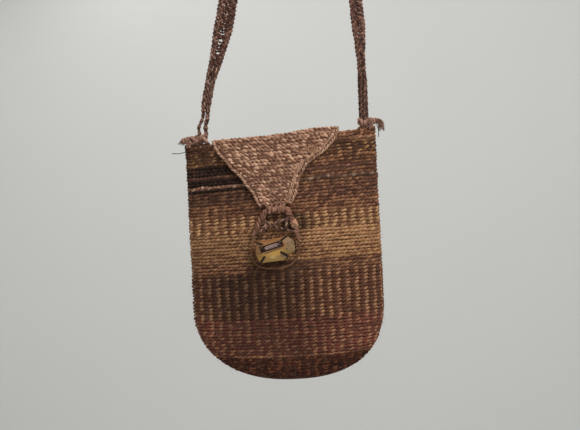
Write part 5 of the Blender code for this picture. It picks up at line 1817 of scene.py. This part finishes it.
@dataclass
class Strap:
    """The shoulder strap: openwork band, gathered neck, tail strands and thick tail cord."""

    pouch: Pouch
    ear_inset: float = 5 * MM
    ear_y: float = -3 * MM
    hinge_above: float = 9.6 * MM
    knot_radius: float = 4.6 * MM
    width: float = 19.5 * MM
    thickness: float = 3 * MM
    end_width: float = 10.5 * MM
    taper: float = 62 * MM
    edge_part: float = 0.18
    rung_pitch: float = 10.3 * MM
    open_start: float = 87 * MM
    open_length: float = 31 * MM
    open_period: float = 88 * MM
    peg_radius: float = 15 * MM
    split: float = 29 * MM
    left_start: float = 66 * MM
    right_start: float = 50 * MM
    tail_radius: float = 5.5 * MM
    left_in: float = 16.5 * MM
    right_in: float = 6.6 * MM
    braid_period: float = 13 * MM
    neck_strands: int = 6
    neck_out: float = 3.4 * MM
    neck_fat: float = 1.95 * MM
    strand_foot: float = 3.5 * MM
    strand_top: float = 2.4 * MM
    rung_radius: float = 1.95 * MM
    dense_from: float = 0.56
    dense_pitch: float = 3.1 * MM
    dense_rise: float = 5 * MM
    rung_dip: float = 2.8 * MM
    ply_period: float = 20 * MM
    ply_out: float = 0.47
    ply_fat: float = 0.54
    groove_out: float = 0.8
    groove_fat: float = 0.95 * MM
    tail_thinning: float = 0.16
    twist_right: float = math.radians(38)
    twist_shares: tuple[float, float, float, float] = (0.175, 0.46, 0.54, 0.825)
    peg_degrees: tuple[float, ...] = (168, 140, 115, 90, 65, 40, 12)
    left_leg: tuple[tuple[float, float], ...] = (
        (0, 1), (0.1, 0.93), (0.218, 0.765), (0.331, 0.628), (0.66, 0.325), (0.9, 0.085)
    )
    right_leg: tuple[tuple[float, float], ...] = (
        (0, 1), (0.15, 1.0), (0.27, 0.955), (0.42, 0.85), (0.7, 0.47), (0.9, 0.14)
    )
    rng: np.random.Generator = field(default_factory=lambda: np.random.default_rng(47))

    def __post_init__(self) -> None:
        """Lay the strap's route."""
        self.ear_along = (self.pouch.half_width - self.ear_inset) / self.pouch.along[0]
        left = self.pouch.rim_point(-self.ear_along + self.left_in, self.ear_y, self.hinge_above)
        right = self.pouch.rim_point(self.ear_along - self.right_in, self.ear_y, self.hinge_above)
        radius = self.peg_radius + self.thickness / 2
        turn = np.radians(self.peg_degrees)
        arc = np.stack([radius * np.cos(turn), 0 * turn, radius * np.sin(turn) - self.peg_radius], 1)
        corners = np.vstack([self.leg(left, self.left_leg), arc, self.leg(right, self.right_leg)[::-1]])
        self.route = curve(corners, 12)
        self.known = marks(self.route)
        self.length = self.known[-1]

    def leg(self, foot: Array, shares: tuple[tuple[float, float], ...]) -> Array:
        """Corners of one leg from its foot upward."""
        side = math.copysign(self.peg_radius + self.thickness / 2, foot[0])
        height, aside = np.array(shares).T
        return np.stack([
            side + (foot[0] - side) * aside, foot[1] * (1 - smooth(height)),
            foot[2] + (-self.peg_radius - foot[2]) * height,
        ], 1)

    def at(self, place: Array) -> tuple[Array, Array]:
        """Points and headings of the route."""
        place = np.asarray(place, float)
        step = 1.5 * MM
        points = at_marks(self.route, self.known, place)
        after = at_marks(self.route, self.known, place + step)
        return points, unit(after - at_marks(self.route, self.known, place - step))

    def across(self, place: Array) -> tuple[Array, Array, Array]:
        """Middle points, across direction and facing of the band."""
        points, heading = self.at(place)
        share = np.clip(
            (place - self.left_start) / (self.length - self.right_start - self.left_start), 0, 1
        )
        a, b, c, d = self.twist_shares
        turn = math.pi / 2 * smooth((share - a) / (b - a))
        turn = turn + (self.twist_right - math.pi / 2) * smooth((share - c) / (d - c))
        inward = unit(np.cross(heading, BACKWARD))
        across = inward * np.cos(turn)[:, None] + np.array(BACKWARD) * np.sin(turn)[:, None]
        return points, across, unit(np.cross(heading, across))

    def wide(self, place: Array) -> Array:
        """The band's width."""
        nearest = np.minimum(place - self.left_start, self.length - self.right_start - place)
        return self.end_width + (self.width - self.end_width) * smooth(nearest / self.taper)

    def build(self) -> None:
        """Build the band, its neck, the tail strands and the tail cord."""
        self.build_edges()
        self.build_neck()
        self.build_strands()
        self.build_rungs()
        self.build_tail()

    def build_edges(self) -> None:
        """The band's two braided edges."""
        mesh = StrandMesh("strap_edge_braids", 6)
        place = np.arange(self.left_start, self.length - self.right_start, 1.15 * MM)
        middle, across, face = self.across(place)
        width = self.wide(place)
        knots = 150
        for k, sign in enumerate((-1, 1)):
            wave = np.interp(place, np.linspace(place[0], place[-1], knots), self.rng.normal(size=knots))
            half = self.edge_part * width
            line = middle + across * (sign * (width / 2 - half) + wave * 0.35 * MM)[:, None]
            full = half * (1.2 + 0.25 * np.exp(-((place - self.left_start) / (45 * MM)) ** 2))
            mesh.braid(line, across, face, full, self.thickness / 2, self.braid_period, 0.7 * k, k * 2.2)
        mesh.build(PALETTE.strap, Body.STRAP, ("strap_band",))

    def build_neck(self) -> None:
        """The gathered stretch: six thin cords side by side, with two lumps of yarn."""
        mesh = StrandMesh("strap_neck_strands", 7)
        top = self.left_start + 12 * MM
        steps = np.linspace(self.split, top, 60)
        points, _ = self.at(steps)
        side = self.beside(steps)
        share = (steps - self.split) / (top - self.split)
        for k in range(self.neck_strands):
            turn = k * TAU / self.neck_strands + share * 4.4 + 0.5
            out = self.neck_out + 1.2 * MM * smooth(share * 1.6 - 0.6)
            out = out + 0.35 * MM * np.sin(share * 17 + k * 2)
            line = points + side * (np.cos(turn) * out)[:, None]
            line = line + np.array(BACKWARD) * (np.sin(turn) * out * 0.7)[:, None]
            fat = (self.neck_fat + 0.2 * MM * np.sin(share * 11 + k)) * (1 - 0.3 * smooth(share * 3 - 2))
            mesh.cord(line, fat, 2, 8 * MM, seed=k * 1.7, twist=Twist.FALLING)
        lumps, _ = self.at(self.split + mm(19, 9))
        for k, spot in enumerate(lumps + mm(3.2, -0.8, 0)):
            mesh.coil(spot, (0.5, 0.3, 1.0), 2.2 * MM, 1.5 * MM, 1 * MM, 1.2 * MM, 2.1, self.rng, seed=k + 7)
        mesh.build(PALETTE.strap, Body.STRAP, ("strap_neck_left",))

    def beside(self, place: Array) -> Array:
        """Directions square to the route in the photograph's plane, toward the viewer's right."""
        side = unit(np.cross(self.at(place)[1], BACKWARD))
        return np.where(side[:, :1] < 0, -side, side)

    def build_strands(self) -> None:
        """The two strands that the left end splits into, the inner one with two lumps."""
        split = np.array([self.split])
        (start,), (heading,) = self.at(split)
        side = self.beside(split)[0]
        along, above = self.pouch.along, self.pouch.above
        height = self.hinge_above + self.knot_radius
        knot = self.pouch.rim_point(-self.ear_along + self.left_in, self.ear_y, height)
        for name, sign, fat in (("outer", -1, 1.9 * MM), ("inner", 1, 2.35 * MM)):
            foot = knot + along * sign * self.strand_foot - above * 1 * MM
            end = start + side * sign * self.strand_top + heading * 2 * MM
            third = np.linalg.norm(end - foot) / 3
            line = spread(curve([foot, foot + above * third, end - heading * third, end]), 1 * MM)
            fat = fat * (1 + 0.14 * np.sin(np.arange(len(line)) * 0.9 + sign))
            mesh = StrandMesh("tail_yarns_" + name)
            mesh.cord(line, fat, 3, 11 * MM, seed=sign * 3.1, twist=Twist.FALLING, tones=(0.0, 0.9, 0.4))
            for k, share in enumerate((0.3, 0.62) if sign > 0 else ()):
                spot = line[int(len(line) * share)] + mm(0.6, -0.5, 0)
                axis = (0.4, 0.5, 1.0)
                mesh.coil(spot, axis, 2.4 * MM, 1.7 * MM, 0.8 * MM, 1.2 * MM, 1.8, self.rng, seed=k + 4)
            mesh.build(PALETTE.strap, Body.STRAP, ("tail_strand_left_" + name,))

    def build_rungs(self) -> None:
        """Rungs between the edges, dipping like a U on the left and packed into a chevron on the right."""
        mesh = StrandMesh("strap_rungs", 6)
        place = self.left_start + 4 * MM
        share = np.linspace(-1, 1, 13)
        while place < self.length - self.right_start - 2 * MM:
            dense = place > self.length * self.dense_from
            last = self.rng.choice((0.5, 1.3), p=(0.55, 0.45)) * MM
            since = place - self.open_start
            if dense:
                offsets = ((0.0, self.rung_radius),)
            elif since > 0 and since % self.open_period < self.open_length:
                offsets = ((0.0, 1.8 * MM), (3.0 * MM, 1.8 * MM), (6.4 * MM, last))
            else:
                offsets = tuple((k * self.rung_pitch / 4, self.rung_radius) for k in range(4))
            for k, (offset, fat) in enumerate(offsets):
                if dense:
                    dip = self.dense_rise * (1 - np.abs(share) ** 1.2)
                else:
                    dip = -self.rung_dip * (1 - np.abs(share) ** 2.2)
                here = place + offset + dip + self.rng.normal() * 0.5 * MM
                here = here + share * self.rng.normal() * 0.8 * MM
                middle, across, face = self.across(here)
                width = self.wide(here) * (0.5 - self.edge_part * 0.9)
                bow = face * (self.rng.uniform(-0.2, 0.5) * MM * (1 - share ** 2))[:, None]
                line = middle + across * (share * width)[:, None] + bow
                mesh.cord(
                    line, fat, 2, 6.5 * MM, tuple(face[0]), seed=place * 90 + k,
                    phase=self.rng.uniform(0, TAU), tones=(0.1, 0.9) if dense else (0.0, 0.7),
                )
            place += self.dense_pitch if dense else self.rung_pitch
        mesh.build(PALETTE.rung, Body.STRAP)

    def build_tail(self) -> None:
        """The thick cord: three plies of two yarns each, with a thin cord in each groove."""
        foot = self.pouch.rim_point(self.ear_along - self.right_in, self.ear_y, self.hinge_above + 2 * MM)
        low = self.length - self.knot_radius - 2 * self.tail_radius
        climb, _ = self.at(np.linspace(low, self.length - self.right_start - 6 * MM, 7))
        line = spread(curve([foot, *climb]), 1 * MM)
        known = marks(line)
        side, up = rails(line, FORWARD)
        slim = 1 - self.tail_thinning * smooth((known - known[-1] * 0.75) / (known[-1] * 0.25))
        mesh = StrandMesh("tail_cord_plies", 6)
        for k in range(6):
            thin = k > 2
            turn = -known / self.ply_period * TAU + k * TAU / 3 + (TAU / 6 if thin else 0)
            out = self.tail_radius * (self.groove_out if thin else self.ply_out) * slim
            ply = line + side * (np.cos(turn) * out)[:, None] + up * (np.sin(turn) * out)[:, None]
            # The thin groove cords take the light tone: painted highlight lines along the twist.
            fat, period, tones = self.groove_fat, 4 * MM, (1.1, 1.4)
            if not thin:
                fat, period, tones = self.tail_radius * self.ply_fat, 9 * MM, (-0.2, 0.25)
            mesh.cord(ply, fat * slim, 2, period, FORWARD, seed=k * 1.9, phase=k, tones=tones)
        mesh.build(PALETTE.strap, Body.STRAP, ("tail_cord_right",))


@dataclass
class CornerTies:
    """The corner loops of the mouth, the strap's knots in them, the frayed ends and the threads."""

    pouch: Pouch
    strap: Strap
    ear_thickness: float = 4 * MM
    ear_rise: float = 6 * MM
    gap: float = 0.3 * MM
    outer_length: float = 4.2 * MM
    tassel_length: float = 6.5 * MM
    curl: float = 8.5 * MM
    arch_half: float = 3.35 * MM
    arch_radius: float = 1.05 * MM
    waist_radius: float = 1.55 * MM
    turns_out: float = 3.05 * MM
    turns_pitch: float = 3.1 * MM
    rng: np.random.Generator = field(default_factory=lambda: np.random.default_rng(59))

    def build(self) -> None:
        """Build both corners."""
        for side, inner, turns in ((Side.LEFT, 18 * MM, 7), (Side.RIGHT, 9.5 * MM, 5)):
            self.build_ear(side)
            self.build_knot(side, inner, turns)
        self.build_left_tassel()
        self.build_right_tassel()
        self.build_threads()

    def hinge_point(self, side: Side, along: float, back: float = 0.0, above: float = 0.0) -> Array:
        """A point by its distance inward from the corner loop, backward and above the hinge."""
        place = side.value * (self.strap.ear_along - along)
        return self.pouch.rim_point(place, self.strap.ear_y + back, self.strap.hinge_above + above)

    def build_ear(self, side: Side) -> None:
        """The corner loop: three yarn arches side by side."""
        mesh = StrandMesh("ear_turns_" + side.name.lower())
        turn = np.linspace(0, math.pi, 14)
        for k, shift in enumerate((-1.35, 0, 1.35)):
            legs = self.arch_half + self.rng.normal() * 0.1 * MM
            foot = -self.ear_rise - 2.5 * MM
            back = np.concatenate([[legs, legs], legs * np.cos(turn), [-legs, -legs]])
            above = np.concatenate([[foot, -2 * MM], legs * np.sin(turn), [-2 * MM, foot]])
            lean = shift * MM + np.sin(np.arange(len(back)) * 0.7 + k) * 0.2 * MM
            line = np.stack([self.hinge_point(side, a, b, c) for a, b, c in zip(lean, back, above)])
            mesh.cord(spread(line, 0.9 * MM), self.arch_radius, 2, 5 * MM, tuple(self.pouch.along), seed=k)
        mesh.build(PALETTE.knot, Body.POUCH, ("ear_" + side.name.lower(),))

    def build_knot(self, side: Side, inner: float, turns: int) -> None:
        """The knot through the corner loop: a waist, turns on both sides and yarns crossing over them.

        Args:
            side: Which corner.
            inner: Length of the knot's inner part.
            turns: How many yarns cross over it.
        """
        mesh = StrandMesh("knot_turns_" + side.name.lower(), 8)
        inward = -side.value * self.pouch.along
        face = self.ear_thickness / 2 + self.gap
        ends = (self.hinge_point(side, place) for place in (-face - 4 * MM, face + inner - 2 * MM))
        mesh.cord(np.linspace(*ends, 40), self.waist_radius, 2, 8 * MM)
        middle, wound = self.hinge_point(side, face + inner / 2), (inner - 2 * MM) / self.turns_pitch
        length = inner - 2.6 * MM
        mesh.coil(middle, inward, length, self.turns_out, 1.4 * MM, 1.65 * MM, wound, self.rng, wander=0.3)
        for k in range(turns):
            along = face + inner * (k + 0.8) / (turns + 0.6)
            place = self.hinge_point(side, along, 0, self.rng.uniform(-0.8, 0.4) * MM)
            tilt = unit(inward + self.rng.normal(size=3) * 0.7)
            major = self.rng.uniform(3.4, 4.1) * MM
            mesh.coil(place, tilt, 2.2 * MM, major, 1.25 * MM, 1.5 * MM, 1.15, self.rng, 0.4, k * 2.1 + 1)
        outer, length = self.hinge_point(side, -face - self.outer_length / 2), self.outer_length - 1.6 * MM
        mesh.coil(outer, inward, length, 2.3 * MM, 1.25 * MM, 1.4 * MM, 2.3, self.rng, seed=9)
        mesh.build(PALETTE.knot, Body.STRAP, ("strap_knot_" + side.name.lower(),))

    def fibres(
        self, mesh: StrandMesh, line: Array, count: int, base: float, flare: float, thick: float
    ) -> None:
        """Loose fibres that follow a line and spread apart.

        Args:
            mesh: The mesh that gets them.
            line: The line they follow.
            count: How many.
            base: How far from the line they start.
            flare: How far from it they end.
            thick: Their radius at the root.
        """
        side, up = rails(line, (0, 1, 0))
        length = len(line)
        for k in range(count):
            end = int(length * self.rng.uniform(0.55, 1.0))
            share = np.linspace(0, 1, end)
            turn = self.rng.uniform(0, TAU)
            far = base * math.sqrt(self.rng.uniform(0, 1)) + flare * self.rng.uniform(0.15, 1) * share ** 1.6
            curl = turn + self.rng.normal() * 0.8 * share
            middle = line[:end] + side[:end] * (np.cos(curl) * far)[:, None]
            middle = middle + up[:end] * (np.sin(curl) * far)[:, None]
            taper = thick * (1 - 0.75 * share)
            a, b = rails(middle, tuple(side[0]))
            mesh.strand(middle, a, b, taper, taper, self.rng.uniform(0, 1), k * 0.61)

    def build_left_tassel(self) -> None:
        """The frayed end that sticks out at the left corner."""
        mesh = StrandMesh("tassel_fibres_left", 5)
        start = self.ear_thickness / 2 + self.gap * 2 + self.outer_length - 1.5 * MM
        shares = np.array((0, 0.35, 0.7, 1))
        for lift, droop, count, reach in ((0.0, 0.0, 20, 0.4), (-1.8, -3.0, 22, 0.55), (1.4, 0.8, 12, 0.35)):
            above = (lift * shares + droop * shares ** 2) * MM
            corners = self.hinge_point(Side.LEFT, -start - self.tassel_length * reach * shares, 0, above)
            self.fibres(mesh, spread(curve(corners), 0.8 * MM), count, 2.2 * MM, 2.6 * MM, 0.5 * MM)
        mesh.build(PALETTE.knot, Body.STRAP, ("tassel_left",))

    def build_right_tassel(self) -> None:
        """The frayed end that curls over at the right corner and hangs."""
        mesh = StrandMesh("tassel_fibres_right", 5)
        start = self.strap.ear_along + self.ear_thickness / 2 + self.gap * 2 + self.outer_length - 1.5 * MM
        curl = self.curl / 2
        turn = np.arange(6) * math.pi / 10
        bend = start + curl / 3
        along = np.concatenate([[start], bend + curl * np.sin(turn), [bend + curl, bend + curl]])
        above = np.concatenate([[0], -curl * (1 - np.cos(turn)), [-self.curl, -self.curl * 1.5]])
        line = self.pouch.rim_point(along, self.strap.ear_y, self.strap.hinge_above + above)
        self.fibres(mesh, spread(line, 0.9 * MM), 60, 2.4 * MM, 1.9 * MM, 0.55 * MM)
        mesh.build(PALETTE.knot, Body.STRAP, ("tassel_right",))

    def build_threads(self) -> None:
        """The two loose dark threads."""
        at, ear_y, above = self.pouch.rim_point, self.strap.ear_y, self.strap.hinge_above
        left = -self.pouch.half_width / self.pouch.along[0]
        right = self.strap.ear_along
        drawn = (
            ("loose_thread_left", Body.POUCH, (
                at(left + 2 * MM, 0, -1.6 * MM), at(left - 7 * MM, 0, -2.7 * MM),
                at(left - 14 * MM, -1.4 * MM, -2 * MM),
            )),
            ("loose_thread_right", Body.STRAP, (
                at(right + 6.3 * MM, ear_y, above - 3 * MM), at(right + 7.7 * MM, ear_y, above - 10 * MM),
                at(right + 7 * MM, ear_y - 0.7 * MM, above - 17.4 * MM),
            )),
        )
        for name, body, corners in drawn:
            mesh = StrandMesh(name + "_yarn", 6)
            mesh.lace(corners, 0.48 * MM, 2.4 * MM, BACKWARD, 0.5 * MM)
            mesh.build(PALETTE.thread, body, (name,))


@dataclass
class Fuzz:
    """Fine loose fibres that stand off the worn yarn."""

    pouch: Pouch
    flap: Flap
    strap: Strap
    pouch_places: int = 300
    hairs_a_place: int = 9
    flap_count: int = 420
    strap_count: int = 420
    rng: np.random.Generator = field(default_factory=lambda: np.random.default_rng(71))

    def hair(self, mesh: StrandMesh, root: Array, out: Array, along: Array, length: float) -> None:
        """One curved hair.

        Args:
            mesh: The mesh that gets it.
            root: Where it stands.
            out: Direction away from the surface.
            along: Direction it leans in.
            length: Its length.
        """
        share = np.linspace(0, 1, 5)[:, None]
        lift = self.rng.uniform(0.15, 0.55)
        line = root + (along * share + out * lift * np.sin(share * self.rng.uniform(1.2, 2.9))) * length
        side, up = rails(line, tuple(out + (0.01, 0.02, 0.03)))
        taper = self.rng.uniform(0.05, 0.085) * MM * (1.15 - share[:, 0])
        mesh.strand(line, side, up, taper, taper, self.rng.uniform(0, 1), self.rng.uniform(0, 9))

    def build(self) -> None:
        """Scatter the hairs over pouch, flap and strap."""
        self.build_on_pouch()
        self.build_on_flap()
        self.build_on_strap()

    def build_on_pouch(self) -> None:
        """Hairs in all directions on the pouch's rows."""
        mesh = StrandMesh("pouch_hairs", 3)
        for _ in range(self.pouch_places):
            depth = self.rng.uniform(4 * MM, self.pouch.height - 6 * MM)
            points, out, up, _, _ = self.pouch.row(depth)
            for k in self.rng.integers(0, len(points), self.hairs_a_place):
                lean = unit(np.cross(up[k], out[k]) * self.rng.normal() + up[k] * self.rng.normal() * 0.7)
                self.hair(mesh, points[k] + out[k] * 1.3 * MM, out[k], lean, self.rng.uniform(2, 7) * MM)
        mesh.build(PALETTE.hair, Body.POUCH)

    def build_on_flap(self) -> None:
        """Hairs on the hanging front of the flap."""
        mesh = StrandMesh("flap_hairs", 3)
        for _ in range(self.flap_count):
            down = np.array([self.rng.uniform(6 * MM, self.flap.length - 14 * MM)])
            along = self.rng.uniform(*self.flap.edges(down))
            (out,), _ = self.flap.directions(along, down)
            root = self.flap.surface(along, down)[0] + out * 1.6 * MM
            lean = unit(self.rng.normal(size=3) * (1, 0.2, 1))
            self.hair(mesh, root, out, lean, self.rng.uniform(2.5, 7) * MM)
        mesh.build(PALETTE.hair, Body.FLAP)

    def build_on_strap(self) -> None:
        """Hairs along both edges of the strap."""
        mesh = StrandMesh("strap_hairs", 3)
        for place in self.rng.uniform(self.strap.split, self.strap.length - 12 * MM, self.strap_count):
            place = np.array([place])
            (middle,), (across,), (face,) = self.strap.across(place)
            sign = self.rng.choice((-1, 1))
            root = middle + across * sign * self.strap.wide(place) * 0.45
            lean = unit(across * sign * self.rng.uniform(0.2, 1) + self.rng.normal(size=3) * 0.8)
            self.hair(mesh, root, face * self.rng.choice((-1, 1)), lean, self.rng.uniform(2, 6.5) * MM)
        mesh.build(PALETTE.hair, Body.STRAP)


@dataclass
class Studio:
    """Floor, backdrop, lamps and the camera at the photograph's angle."""

    looked_at: tuple[float, float, float] = (-23.6 * MM, 0, -553.9 * MM)
    distance: float = 666 * MM
    pitch: float = math.radians(1.2)
    roll: float = math.radians(3.0)
    lens: float = 38.5
    floor_drop: float = 1.1
    wall_back: float = 1.7
    half_length: float = 9.0
    front: float = -3.0
    wall_height: float = 4.0
    sweep: float = 0.3
    backdrop: PlainFinish = PlainFinish("pale_wall", dyed(206, 206, 203))

    def build(self) -> None:
        """Set up the whole studio."""
        self.build_stage()
        self.build_lamps()
        self.build_camera()

    def build_stage(self) -> None:
        """A floor that sweeps up into a backdrop."""
        bottom = CAD_BOX[0][2] - self.floor_drop
        turn = np.linspace(0, math.pi / 2, 12)
        depth = self.wall_back - self.sweep + self.sweep * np.sin(turn)
        height = bottom + self.sweep - self.sweep * np.cos(turn)
        profile = [(self.front, bottom), *zip(depth, height), (self.wall_back, bottom + self.wall_height)]
        mesh = bpy.data.meshes.new("backdrop")
        points = [(x, y, z) for y, z in profile for x in (-self.half_length, self.half_length)]
        faces = [(2 * i, 2 * i + 1, 2 * i + 3, 2 * i + 2) for i in range(len(profile) - 1)]
        mesh.from_pydata(points, [], faces)
        mesh.shade_smooth()
        mesh.materials.append(self.backdrop.material())
        stage = bpy.data.objects.new("backdrop", mesh)
        bpy.context.scene.collection.objects.link(stage)

    def lamp(self, name: str, place: Sequence[float], size: float, power: float, colour: Colour) -> None:
        """A square soft lamp that faces the bag.

        Args:
            name: The lamp's name.
            place: Where it stands, from the looked-at point.
            size: Side of its square.
            power: Its power in watts.
            colour: Its colour.
        """
        light = bpy.data.lights.new(name, "AREA")
        light.size = size
        light.energy = power
        light.color = colour
        lamp = bpy.data.objects.new(name, light)
        lamp.location = Vector(self.looked_at) + Vector(place)
        lamp.rotation_mode = "QUATERNION"
        lamp.rotation_quaternion = (-Vector(place)).to_track_quat("-Z", "Y")
        bpy.context.scene.collection.objects.link(lamp)

    def build_lamps(self) -> None:
        """Soft daylight from above and in front, and an even sky."""
        self.lamp("key", (1.2, -1.3, 1.7), 0.8, 50, (1.0, 0.985, 0.955))
        self.lamp("fill", (-1.6, -1.7, 0.3), 1.6, 8, (1.0, 1.0, 1.0))
        self.lamp("back_lamp", (-0.7, 0.9, 1.5), 1.5, 13, (1.0, 1.0, 1.0))
        world = bpy.data.worlds.new("sky")
        world.use_nodes = True
        sky = world.node_tree.nodes["Background"]
        sky.inputs["Color"].default_value = (0.98, 0.99, 1.0, 1)
        sky.inputs["Strength"].default_value = 0.5
        bpy.context.scene.world = world
        bpy.context.scene.view_settings.view_transform = "Standard"

    def build_camera(self) -> None:
        """The camera, level with the bag's middle and rolled as the photograph is."""
        data = bpy.data.cameras.new("camera")
        data.lens = self.lens
        camera = bpy.data.objects.new("camera", data)
        bpy.context.scene.collection.objects.link(camera)
        ahead = Vector((0, math.cos(self.pitch), -math.sin(self.pitch)))
        upright = Vector((0, math.sin(self.pitch), math.cos(self.pitch)))
        right = ahead.cross(upright)
        up = upright * math.cos(self.roll) + right * math.sin(self.roll)
        side = ahead.cross(up)
        turn = Matrix((side, up, -ahead)).transposed().to_4x4()
        camera.matrix_world = Matrix.Translation(Vector(self.looked_at) - ahead * self.distance) @ turn
        bpy.context.scene.camera = camera


def main() -> None:
    """Build every sub-assembly in order."""
    logging.basicConfig(level=logging.INFO, format="%(message)s")
    Studio().build()
    pouch = Pouch()
    pouch.build()
    MouthCorner(pouch, Side.LEFT, PALETTE.ridge, 6, 25 * MM, 4.1 * MM, (-1.2 * MM, -4.6 * MM)).build()
    MouthCorner(pouch, Side.RIGHT, PALETTE.brown, 5, 15 * MM, 3.0 * MM).build()
    flap = Flap(pouch)
    flap.build()
    loop = TipAndLoop(pouch, flap)
    loop.build()
    CarvedButton(pouch, loop).build()
    strap = Strap(pouch)
    strap.build()
    CornerTies(pouch, strap).build()
    Fuzz(pouch, flap, strap).build()


if __name__ == "__main__":
    main()
